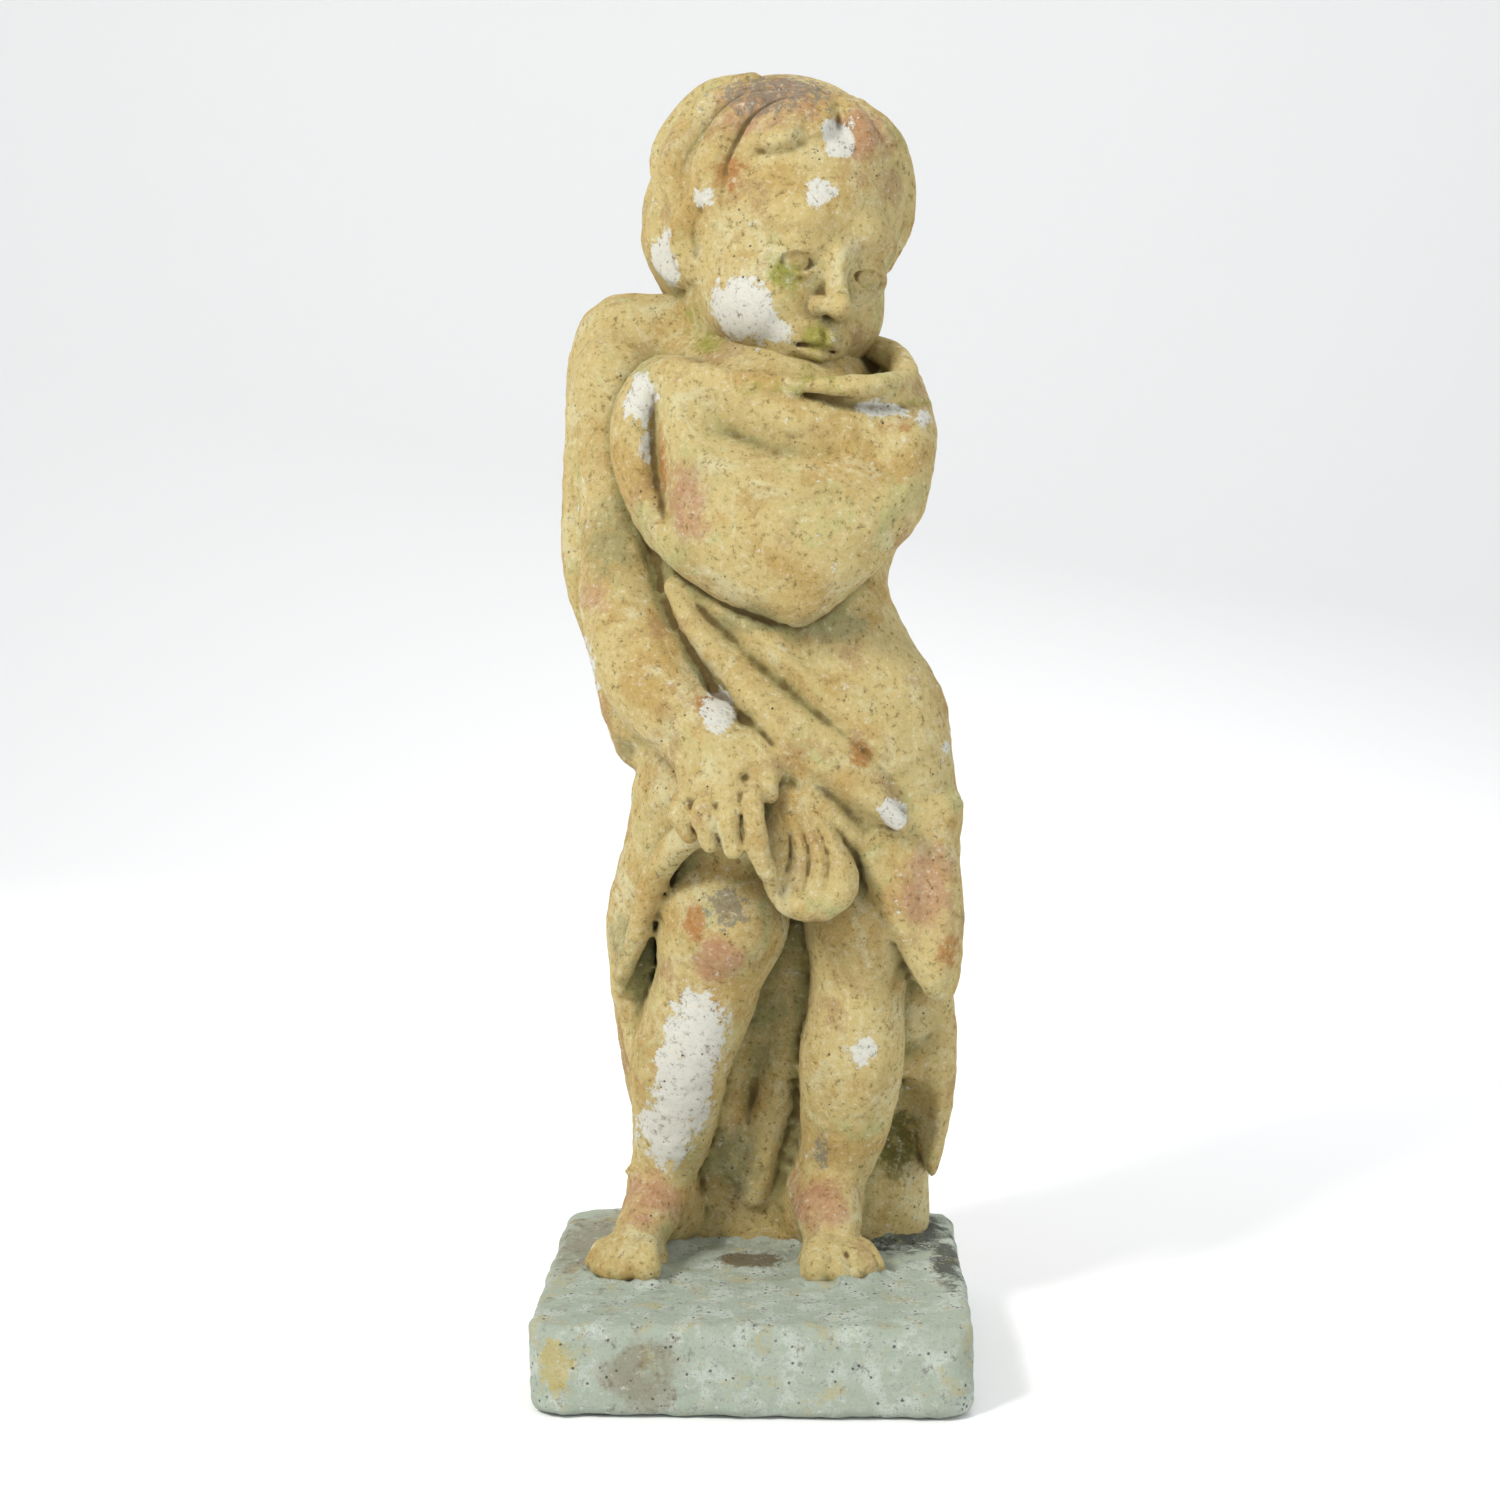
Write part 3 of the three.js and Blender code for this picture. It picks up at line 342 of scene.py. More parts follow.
def eyes(head):
    for side in [-1, 1]:
        head.carve(ball([side * 24, -80, -14], [18, 12, 10], [0, 0, side * 14]), 12)
        head.add(ball([side * 25, -54, -17], [17, 16.5, 13.5]), 5)
        head.carve(ball([side * 25.5, -73, -17], [14.5, 13, 6.4], [0, side * 6, side * 14]), 1)
        head.add(ball([side * 25, -53.5, -17], [13.5, 13.6, 12]), 0.6)
        # The fold over the upper lid, and a soft brow.
        fold = [[side * 13, -71, -7], [side * 25, -74, -2.5], [side * 39, -65, -7]]
        head.carve(limb(fold, [2, 2.6, 2]), 4)
        brow = [[side * 11, -60, 4], [side * 24, -62, 8], [side * 40, -52, 4]]
        head.add(limb(brow, [3, 4, 3]), 16)


def nose_and_mouth(head):
    head.add(limb([[0, -67, -8], [0, -72, -22], [0, -80, -36]], [4.5, 5.5, 8]), 8)
    for side in [-1, 1]:
        head.add(ball([side * 8.5, -72.5, -38], [5.5, 7, 5.2]), 4)
        head.carve(ball([side * 4.5, -79, -44], [2.4, 3, 2]), 2)
    head.add(ball([0, -61, -59], [21, 12, 13]), 12)
    head.add(limb([[-15, -62, -60], [-6, -71, -57], [0, -71.5, -58.5], [6, -71, -57], [15, -62, -60]],
        [2, 4.2, 3.6, 4.2, 2]), 3)
    head.add(limb([[-13, -62, -65], [0, -69.5, -67.5], [13, -62, -65]], [2, 5.4, 2]), 3)
    head.carve(limb([[-16, -65, -62], [0, -76, -62.5], [16, -65, -62]], [1.6, 1.5, 1.6]), 2)
    head.carve(limb([[-9, -69, -73], [9, -69, -73]], [3, 3]), 7)
    head.carve(limb([[0, -76, -47], [0, -75, -53]], [1.5, 2]), 4)


HAIR_CENTRE = [0, 13, 13]
HAIR_RADII = [72, 81, 78]


def on_hair(around, above, out=0):
    """A point on the hair, from an angle round the head (0 in front, 90 to +X) and one above the
    ears, proud of the surface by out."""
    a, e = math.radians(around), math.radians(above)
    r = [v + out for v in HAIR_RADII]
    way = [math.sin(a) * math.cos(e), -math.cos(a) * math.cos(e), math.sin(e)]
    return [c + s * w for c, s, w in zip(HAIR_CENTRE, r, way)]


def lock(head, way, width, out=0):
    """A lock of hair lies along angles [around, above] on the head, thickest in its middle."""
    head.add(limb([on_hair(a, e, out) for a, e in way], [width * 0.5, width, width, width * 0.3]), 4)


def hair(head):
    cap = Clay()
    cap.add(ball(HAIR_CENTRE, HAIR_RADII), 1)
    cap.add(limb([[-48, 34, -20], [0, 62, -38], [48, 34, -20]], [24, 30, 24]), 20)
    cap.carve(ball([0, -66, -30], [57, 62, 75]), 6)
    head.add(cap.placed(), 3)
    # The fringe: locks combed from the crown to either side of the brow.
    lock(head, [[-25, 62], [-36, 44], [-50, 30], [-58, 10]], 9)
    lock(head, [[-12, 60], [-20, 46], [-24, 36], [-34, 30]], 8)
    lock(head, [[-30, 56], [-32, 40], [-40, 26], [-52, 22]], 7, 3)
    lock(head, [[-2, 62], [-2, 48], [6, 38], [18, 33]], 9)
    lock(head, [[12, 60], [18, 46], [28, 36], [38, 34]], 8)
    lock(head, [[26, 60], [38, 46], [50, 34], [56, 16]], 8)
    # The sides: a long lock in front of each ear, curls over it and behind.
    for side in [-1, 1]:
        lock(head, [[side * 46, 50], [side * 66, 34], [side * 70, 8], [side * 62, -14]], 10)
        lock(head, [[side * 62, 52], [side * 88, 36], [side * 96, 8], [side * 84, -16]], 11)
        lock(head, [[side * 72, -2], [side * 82, -22], [side * 74, -38], [side * 64, -30]], 9)
        lock(head, [[side * 96, 2], [side * 104, -20], [side * 96, -40], [side * 84, -42]], 10)
        lock(head, [[side * 90, 58], [side * 120, 40], [side * 122, 12], [side * 108, -10]], 11)
        lock(head, [[side * 128, 56], [side * 150, 36], [side * 148, 8], [side * 134, -18]], 11)
        lock(head, [[side * 120, 8], [side * 130, -14], [side * 122, -36], [side * 108, -42]], 10)
    lock(head, [[180, 60], [168, 34], [182, 8], [172, -16]], 11)
    lock(head, [[150, 4], [162, -18], [152, -40], [140, -48]], 10)
    lock(head, [[-160, 4], [-172, -18], [-164, -40], [-152, -48]], 10)


HEAD_AT = [17, 20, 681]
HEAD_TURN = [12, 9, 33]


def head():
    clay = Clay()
    skull(clay)
    eyes(clay)
    nose_and_mouth(clay)
    hair(clay)
    return clay.placed()


# ---------------------------------------------------------------------------------------------
# The body under the cloak, the legs and the arm.


def toes(clay, root, tips, radii):
    root = np.array(root)
    for tip, r in zip(np.array(tips), radii):
        knuckle = root + (tip - root) * 0.45
        bend = root + (tip - root) * 0.8 + [0, 0, 6]
        clay.add(limb([knuckle, bend, tip], [r, r * 0.9, r]), 2)


def right_leg(clay):
    knee = [-19, 0, 266]
    clay.add(limb([[-14, 34, 350], knee], [40, 35]), 12)
    clay.add(limb([knee, [-32, 4, 218], [-46, 10, 178], [-52, 24, 130], [-60, 32, 100]],
        [35, 32, 31, 25, 19]), 14)
    clay.add(ball([-22, -18, 264], [24, 20, 27]), 16)
    clay.add(limb([[-60, 36, 88], [-63, 12, 84], [-74, -14, 68]], [20, 19, 15]), 12)
    clay.add(ball([-55, 44, 70], [19, 18, 18]), 12)
    clay.add(ball([-77, -12, 59], [24, 20, 12], [0, 0, 12]), 8)
    clay.add(limb([[-80, 22, 104], [-62, 10, 102], [-44, 22, 104]], [2, 3, 2]), 5)
    toes(clay, [-68, 10, 72],
        [[-99, -20, 59], [-94, -30, 59], [-87, -36, 59], [-78, -40, 60], [-65, -41, 61]],
        [5.5, 6, 6.5, 7, 9.5])


def left_leg(clay):
    knee = [63, 6, 264]
    clay.add(limb([[52, 34, 345], knee], [38, 29]), 12)
    clay.add(limb([knee, [61, 10, 216], [59, 14, 178], [54, 26, 128], [44, 32, 98]],
        [29, 29, 32, 26, 21]), 14)
    clay.add(ball([63, -12, 258], [19, 16, 24]), 14)
    clay.add(limb([[43, 36, 84], [45, 8, 82], [48, -14, 66]], [21, 20, 14]), 12)
    clay.add(ball([40, 46, 70], [20, 18, 18]), 12)
    clay.add(ball([49, -12, 59], [24, 20, 12], [0, 0, -6]), 8)
    toes(clay, [45, 12, 72],
        [[37, -38, 61], [51, -40, 60], [60, -37, 59], [68, -31, 59], [73, -22, 59]],
        [9.5, 7, 6.5, 6, 5.5])


def right_arm(clay):
    clay.add(limb([[-86, 20, 594], [-85, 12, 520], [-82, -4, 462]], [25, 22, 23]), 8)
    clay.add(limb([[-82, -4, 462], [-72, -20, 434], [-57, -36, 406], [-40, -47, 388], [-27, -52, 376]],
        [23, 28, 27, 23, 20]), 8)
    clay.carve(limb([[-116, 24, 610], [-117, 22, 540], [-114, 18, 480], [-106, 14, 430]], [4, 5, 5, 4]), 7)


def right_hand(clay):
    clay.add(limb([[-28, -52, 380], [-21, -59, 360], [-20, -62, 347]], [20, 25, 22], 0.62), 8)
    fingers = [
        [[-40, -60, 347], [-42, -69, 338], [-37, -67, 326]],
        [[-27, -64, 349], [-28, -74, 337], [-25, -72, 322]],
        [[-13, -66, 350], [-14, -76, 336], [-11, -74, 318]],
        [[-1, -66, 354], [1, -77, 338], [3, -77, 320], [8, -72, 304]],
    ]
    for finger in fingers:
        clay.add(limb(finger, [7, 7, 6]), 1.5)
    clay.add(limb([[-4, -56, 376], [7, -62, 362], [10, -65, 348]], [10, 8, 5.5]), 5)


# ---------------------------------------------------------------------------------------------
# The cloak.


# What hangs behind: a mantle, square over the shoulders, that narrows at the waist and reaches
# the plinth behind the legs.
def mantle(clay):
    flutes = [
        dict(at=-62, width=9, rise=7, low=90, high=560, drift=10),
        dict(at=-34, width=10, rise=9, low=70, high=520, drift=6),
        dict(at=-8, width=9, rise=8, low=60, high=560, drift=-4),
        dict(at=18, width=10, rise=9, low=70, high=500, drift=-10),
        dict(at=46, width=10, rise=8, low=80, high=540, drift=-8),
    ]
    clay.add(loft([
        [646, -42, 58, 58, 28], [630, -36, 57, 74, 38], [606, -21, 54, 96, 44], [575, -13, 54, 106, 46],
        [510, -14, 50, 107, 46], [470, -20, 50, 100, 46], [434, -9, 50, 99, 48], [400, 6, 50, 100, 50],
        [362, 23, 52, 92, 52], [320, 22, 56, 97, 50], [270, 15, 62, 107, 44], [220, 14, 66, 107, 40],
        [160, 13, 72, 99, 36], [100, 17, 76, 91, 34], [46, 20, 78, 88, 34],
    ], 2.7, flutes, 14), 10)
    # Folds that sweep over the back from the right shoulder to the left hip, and the cloth bunched
    # at the nape.
    for x, z in [[-84, 600], [-60, 622], [-20, 616]]:
        crest = [[x, z], [x + 14, z - 80], [x + 44, z - 160], [x + 82, z - 230], [x + 104, z - 320]]
        clay.press(stroke(crest, 11, -8, BACK))
        valley = [[x + 18, z - 10], [x + 34, z - 90], [x + 64, z - 165], [x + 98, z - 235]]
        clay.press(stroke(valley, 8, 6, BACK))
    clay.press(stroke([[-84, 620], [-40, 606], [10, 600], [56, 606]], 10, -7, BACK))
    clay.press(stroke([[-70, 420], [-76, 330], [-66, 230], [-60, 110]], 12, -9, BACK))
    clay.press(stroke([[-36, 400], [-34, 300], [-20, 200], [-22, 90]], 12, -9, BACK))
    clay.press(stroke([[40, 330], [34, 250], [44, 170], [38, 80]], 12, -9, BACK))
    # Cloth that shows below the elbow.
    clay.add(limb([[-88, 16, 412], [-82, 12, 390], [-68, 8, 372]], [10, 11, 7]), 5)
    clay.add(limb([[-84, 24, 392], [-74, 18, 368], [-58, 6, 362]], [10, 10, 7]), 4)


def torso(clay):
    clay.add(limb([[8, 20, 560], [6, 16, 500], [10, 14, 450]], [70, 62, 56]), 24)


# The cowl: a deep pouch from shoulder to shoulder over the folded arm, pointed below, with a
# fat roll on the right shoulder, a scoop below the throat and a rolled rim.
def cowl():
    clay = Clay()
    outline = [[-38, 600], [-60, 600], [-76, 584], [-82, 564], [-80, 542], [-75, 522], [-67, 501],
        [-54, 484], [-38, 472], [-18, 461], [2, 453], [22, 446], [30, 446], [44, 454], [62, 470],
        [80, 487], [92, 503], [100, 525], [104, 548], [101, 566], [91, 582], [60, 586], [10, 588]]

    def bent(x, z):
        return -27 + ((x - 12) / 17) ** 2 + np.maximum(500 - z, 0) / 8

    clay.add(pillow(outline, bent, 88, 15), 4)
    clay.add(ball([18, -58, 512], [58, 22, 44]), 24)
    clay.add(limb([[-40, -8, 588], [-57, -20, 583], [-64, -26, 562], [-64, -30, 536], [-58, -32, 512]],
        [15, 18, 20, 18, 12]), 8)
    clay.add(limb([[86, -8, 576], [86, -36, 552], [78, -42, 520]], [13, 19, 20]), 14)
    # The throat, its rolled rim and the flap of cloth that stands up beside the chin.
    clay.carve(ball([26, -26, 606], [62, 34, 30]), 5)
    clay.add(limb([[88, -16, 580], [86, 8, 588], [66, 32, 593]], [12, 13, 15]), 6)
    clay.add(limb([[-24, -54, 589], [4, -66, 584], [40, -68, 581], [70, -58, 583], [87, -28, 588],
        [86, -8, 600], [74, 10, 609], [54, 24, 612]], [6, 6, 7, 7, 8, 8, 8, 8]), 3)
    clay.press(stroke([[-57, 588], [-59, 560], [-57, 534], [-51, 504]], 6, 12))
    clay.press(stroke([[-46, 580], [-40, 558], [-25, 541], [-4, 531], [22, 526], [50, 526]], 7, -7))
    clay.press(stroke([[-30, 584], [-18, 562], [4, 549], [34, 545], [56, 548]], 13, 12))
    clay.press(stroke([[22, 582], [44, 574], [72, 571], [104, 574]], 5, 7, [-200, -30]))
    return clay.placed()


# The cloth wound round the hips, with the end that hangs over the left thigh and the swag that
# runs from the right hand back over the right thigh.
def hips(clay):
    clay.add(loft([
        [486, 8, 16, 66, 46], [465, 10, 14, 68, 48], [430, 20, 10, 78, 52], [400, 27, 8, 87, 57],
        [360, 30, 8, 90, 60], [320, 30, 12, 92, 56], [300, 32, 20, 91, 48],
    ], 2.3, [], 16), 16)
    end = [[40, 346], [58, 314], [66, 294], [73, 278], [83, 259], [92, 241], [102, 226],
        [113, 219], [122, 228], [125, 250], [124, 280], [121, 310], [118, 346]]
    clay.add(pillow(end, lambda x, z: 4 + ((x - 60) / 15) ** 2, 88, 12), 5)
    clay.press(stroke([[118, 330], [116, 290], [112, 250], [108, 228]], 9, -3))
    clay.press(stroke([[104, 320], [101, 285], [98, 250]], 7, 3))
    swag = [[-20, 336], [-40, 352], [-54, 364], [-70, 357], [-76, 340], [-75, 322], [-83, 304],
        [-90, 280], [-91, 260], [-89, 238], [-84, 218], [-77, 226], [-73, 246], [-66, 268], [-58, 287],
        [-48, 304], [-30, 316]]
    clay.add(pillow(swag, lambda x, z: -6 - 0.9 * (x + 60), 26, 10), 6)
    clay.add(limb([[-24, -54, 328], [-42, -44, 319], [-56, -28, 302], [-65, -16, 280], [-73, -8, 256],
        [-79, -4, 238], [-83, 4, 230]], [7, 9, 9, 8, 7, 6, 5]), 4)
    clay.add(limb([[-34, -40, 350], [-54, -18, 342], [-68, 0, 326]], [8, 9, 8]), 5)


# The long folds drawn across the belly from below the cowl to the left hip, where the strongest
# one is broken off.
def across_folds(clay):
    clay.add(limb([[-36, -14, 456], [-8, -30, 420], [26, -38, 382], [62, -36, 350]], [18, 20, 20, 16]), 16)
    clay.press(stroke([[-50, 476], [-25, 457], [4, 442], [21, 425], [40, 413], [61, 402], [84, 385]], 6, -6))
    clay.press(stroke([[-44, 465], [-19, 444], [4, 421], [34, 396], [66, 371], [93, 341]], 6, 6))
    clay.press(stroke([[10, 432], [36, 408], [62, 386], [84, 364]], 7, -3))
    clay.add(limb([[-48, -32, 468], [-37, -40, 446], [-20, -46, 424], [1, -51, 401], [24, -54, 377],
        [46, -54, 359], [71, -50, 343], [86, -45, 330]], [5, 7, 8, 8, 8, 8, 7, 5]), 8)
    under = [[-44, 448], [-34, 428], [-23, 412], [-9, 393], [10, 374], [36, 352], [70, 326]]
    clay.press(stroke(under, 6, 3))
    clay.press(stroke([[12, 372], [24, 361], [34, 348], [51, 331], [63, 316], [72, 300]], 6, -5))
    clay.press(stroke([[38, 356], [52, 340], [66, 322], [80, 304]], 6, 3))


# The gathers in the right hand: pleats that fan out of it, held in by a rounded hem.
def gathers(clay):
    fan = [[14, 356], [28, 352], [42, 336], [53, 318], [61, 301], [59, 286], [47, 276], [32, 273],
        [17, 278], [7, 291], [4, 310], [8, 336]]
    clay.add(pillow(fan, lambda x, z: -42 - np.maximum(330 - z, 0) / 9, 40, 14), 5)
    for top, x, foot in [[15, 17, 288], [22, 31, 283], [29, 45, 286]]:
        pleat = [[top, 342], [(top + x) / 2 + 6, (342 + foot) / 2], [x - 4, foot + 3]]
        clay.press(stroke(pleat, 2.6, 4.4))
    # Cloth bunched up between the thumb and the strongest fold.
    clay.add(ball([14, -52, 366], [9, 9, 12], [0, 0, 20]), 5)


# Behind the legs: folds that fall to the plinth, the cloth's last corner and the stump under it.
def behind(clay):
    clay.add(limb([[25, 38, 246], [22, 36, 206], [13, 38, 160], [4, 42, 120], [-2, 46, 84]],
        [9, 11, 12, 11, 10]), 4)
    clay.add(limb([[-8, 42, 230], [-11, 38, 200], [-15, 40, 158], [-12, 46, 100]], [7, 9, 9, 8]), 5)
    clay.press(stroke([[-22, 220], [-24, 160], [-28, 100]], 8, -6, [20, 90]))
    corner = [[76, 272], [100, 246], [121, 215], [125, 186], [124, 152], [118, 118], [110, 97],
        [98, 120], [90, 158], [78, 156], [70, 186], [68, 240]]
    clay.add(pillow(corner, lambda x, z: 58 + (x - 100) / 6, 50, 14), 5)
    clay.press(stroke([[118, 200], [104, 184], [86, 176]], 6, 5, [0, 90]))
    clay.carve(ball([88, 30, 122], [22, 26, 40], [0, 20, 0]), 8)
    clay.add(limb([[83, 84, 40], [87, 82, 100], [94, 80, 150]], [24, 22, 20]), 6)
    clay.add(limb([[-68, 26, 300], [-74, 24, 262], [-77, 26, 220], [-72, 32, 180]], [12, 14, 13, 10]), 8)


def body():
    clay = Clay()
    mantle(clay)
    torso(clay)
    hips(clay)
    across_folds(clay)
    behind(clay)
    right_leg(clay)
    left_leg(clay)
    right_arm(clay)
    clay.add(cowl(), 3)
    gathers(clay)
    right_hand(clay)
    return clay.placed()


# ---------------------------------------------------------------------------------------------
# From field to mesh.


def grid_around(shape, cell):
    """The axes of a grid with this spacing and a few cells to spare on every side."""
    spans = zip(shape.low, shape.high)
    return [np.arange(lo - 3 * cell, hi + 4 * cell, cell, dtype=np.float32) for lo, hi in spans]


def lumps(axes, size):
    """Smooth random values on a grid, mostly between -1 and 1, with lumps of about this size."""
    values = rng.standard_normal([int((a[-1] - a[0]) / size) + 4 for a in axes]).astype(np.float32)
    for a in axes:
        t = (a - a[0]) / size
        i = t.astype(int)
        f = t - i
        shares = [(1 - f) ** 3, 3 * f**3 - 6 * f**2 + 4, -3 * f**3 + 3 * f**2 + 3 * f + 1, f**3]
        weights = np.zeros((len(a), values.shape[0]), np.float32)
        for k, share in enumerate(shares):
            weights[np.arange(len(a)), i + k] = share / 6
        values = np.tensordot(values, weights, axes=(0, 1))
    return values * LUMP_GAIN


def averaged(values, cells):
    """Each value averaged with those up to so many cells away along every axis."""
    for axis in range(3):
        pad = [(0, 0)] * 3
        pad[axis] = (cells + 1, cells)
        total = np.cumsum(np.pad(values, pad, mode="edge"), axis=axis, dtype=np.float64)
        n = values.shape[axis]
        after = np.take(total, range(2 * cells + 1, 2 * cells + 1 + n), axis=axis)
        values = ((after - np.take(total, range(n), axis=axis)) / (2 * cells + 1)).astype(np.float32)
    return values


CORNERS = np.array([[i, j, k] for i in (0, 1) for j in (0, 1) for k in (0, 1)])
EDGES = [(p, q) for p in CORNERS for q in CORNERS if (q - p).min() == 0 and (q - p).sum() == 1]


def polygonise(field, axes):
    """Surface nets: one vertex in each grid cell that the surface crosses, one quad across each
    grid edge that it crosses."""
    inside = field < 0
    n = np.array(field.shape)
    windows = [tuple(slice(c, c + m) for c, m in zip(corner, n - 1)) for corner in CORNERS]
    count = sum(inside[window].astype(np.int8) for window in windows)
    active = (count > 0) & (count < 8)
    cells = np.argwhere(active)
    total = np.zeros(cells.shape)
    crossings = np.zeros(len(cells))
    for p, q in EDGES:
        a, b = field[tuple((cells + p).T)], field[tuple((cells + q).T)]
        cross = (a < 0) != (b < 0)
        t = a[cross] / (a[cross] - b[cross])
        total[cross] += p + t[:, None] * (q - p)
        crossings[cross] += 1
    points = cells + total / crossings[:, None]
    cell = axes[0][1] - axes[0][0]
    vertices = points * cell + [a[0] for a in axes]

    index = np.full(active.shape, -1)
    index[active] = np.arange(len(cells))
    quads = []
    for axis in range(3):
        step = np.eye(3, dtype=int)
        along, u, v = step[axis], step[(axis + 1) % 3], step[(axis + 2) % 3]
        here = inside[tuple(slice(0, m - s) for m, s in zip(n, along))]
        there = inside[tuple(slice(s, m) for m, s in zip(n, along))]
        at = np.argwhere(here != there)
        at = at[(at >= 1).all(axis=1)]
        quad = np.stack([index[tuple((at - o).T)] for o in (0 * u, u, u + v, v)], axis=1)
        out = here[tuple(at.T)]
        quads += [quad[out], quad[~out][:, ::-1]]
    return vertices, np.vstack(quads), points


def sampled(values, points):
    """values at points given in cells, between the grid's own."""
    i = np.clip(points.astype(int), 0, np.array(values.shape) - 2)
    f = points - i
    total = 0
    for corner in CORNERS:
        share = np.prod(np.where(corner, f, 1 - f), axis=1)
        total = total + share * values[tuple((i + corner).T)]
    return total


def mesh_piece(name, vertices, quads, values, place):
    """An object from a polygonised field, thinned to the most triangles that a piece may have.
    values are numbers for each vertex that its material reads."""
    mesh = bpy.data.meshes.new(name)
    mesh.from_pydata(vertices.tolist(), [], quads.tolist())
    for key, numbers in values.items():
        mesh.attributes.new(key, "FLOAT", "POINT").data.foreach_set("value", numbers.astype(np.float32))
    mesh.transform(place)
    mesh.shade_smooth()
    obj = bpy.data.objects.new(name, mesh)
    bpy.context.scene.collection.objects.link(obj)
    if len(quads) * 2 > MOST_TRIANGLES:
        thin = obj.modifiers.new("thin", "DECIMATE")
        thin.ratio = MOST_TRIANGLES / (len(quads) * 2)
        bpy.context.view_layer.update()
        evaluated = obj.evaluated_get(bpy.context.evaluated_depsgraph_get())
        thinned = bpy.data.meshes.new_from_object(evaluated)
        obj.modifiers.clear()
        obj.data = thinned
        thinned.shade_smooth()
    return obj


def worn(field, axes, rough):
    """The field of weathered stone: softly uneven, flaked in small lumps, with scattered pits."""
    for size, height in RELIEF:
        field += rough * height * lumps(axes, size)
    field += rough * PIT_DEPTH * np.maximum(lumps(axes, PIT_SIZE) - PIT_FROM, 0)
    return field


def hollowness(field, cell, reach):
    """How much stone lies within reach of each place: a half on a flat face, more in a hollow."""
    return averaged((field < 0).astype(np.float32), max(1, round(reach / cell)))


def stone_piece(name, shape, cell, place, rough, marks):
    """A piece of weathered stone, with the marks of its growths and stains as attributes, and with how
    hollow and how creased each place is, which its material reads for growth, lichen and painted shade.
    place takes the shape's own millimetres to the frame."""
    axes = grid_around(shape, cell)
    field = shape.depth(axes)
    wide = hollowness(field, cell, HOLLOW_REACH)
    field = worn(field, axes, rough)
    narrow = hollowness(field, cell, CREASE_REACH)
    vertices, quads, points = polygonise(field, axes)
    values = {"hollow": sampled(wide, points), "crease": sampled(narrow, points)}
    settled = np.array(place)[:3, :3] @ vertices.T + np.array(place)[:3, 3:]
    design = (settled.T - np.array(CENTRE)) / UNIT
    for key, patches in marks.items():
        values[key] = patchwork(design, patches)
    return mesh_piece(name, vertices, quads, values, place)


def patchwork(points, patches):
    """1 within half the radii of patches of [centre, radii], in design millimetres, falling to 0
    at one and a half of them."""
    total = np.zeros(len(points))
    for centre, radii in patches:
        gap = np.sqrt((((points - centre) / radii) ** 2).sum(axis=1))
        total = np.maximum(total, np.clip(1.5 - gap, 0, 1))
    return total


# ---------------------------------------------------------------------------------------------
# The plinth: a slab with worn edges, with mortar bedded round the feet.


def plinth_shape(standing):
    """The slab, and on its top a bed of gritty mortar round the figure that stands on it, and a
    round pad between the feet."""
    half = np.array([PLINTH_WIDTH / 2, PLINTH_WIDTH / 2, PLINTH_HEIGHT / 2])
    corner, edge = 20, 7
    bed_rise, bed_spread, bed_lumps = 3.4, 6, 4
    pad_rise, pad_radius, (pad_x, pad_y), pad_front = 1.8, 26, (-4, 6), -30

    def depth(axes):
        x, y, z = spread(axes)
        px = np.maximum(np.abs(x) - (half[0] - corner), 0)
        py = np.maximum(np.abs(y) - (half[1] - corner), 0)
        wall = np.hypot(px, py) - corner + edge
        lid = np.abs(z - half[2]) - (half[2] - edge)
        outside = np.hypot(np.maximum(wall, 0), np.maximum(lid, 0))
        slab = np.minimum(np.maximum(wall, lid), 0) + outside - edge
        level = [axes[0], axes[1], np.array([PLINTH_HEIGHT + 3.0], np.float32)]
        away = np.maximum(standing.depth(level), 0) / bed_spread
        bed = bed_rise * np.exp(-(away ** 2)) * (1 + 0.5 * lumps(level, bed_lumps))
        from_pad = np.hypot(x - pad_x, y - pad_y)
        pad = pad_rise * np.clip((pad_radius - from_pad) / 4, 0, 1) * np.clip((y - pad_front) / 6, 0, 1)
        return slab - (bed + pad) * np.clip((z - PLINTH_HEIGHT + 9) / 6, 0, 1)

    return Shape(-half * [1, 1, 0], half * [1, 1, 2] + [0, 0, 4], depth)


# ---------------------------------------------------------------------------------------------
# Materials.


def shade(code):
    """A colour written as sRGB digits, as the linear values that Blender works in."""
    parts = [int(code[i:i + 2], 16) / 255 for i in (0, 2, 4)]
    return [p / 12.92 if p < 0.04045 else ((p + 0.055) / 1.055) ** 2.4 for p in parts] + [1]


SPOT_RIM = 0.35  # how much of a spot's radius is its soft rim


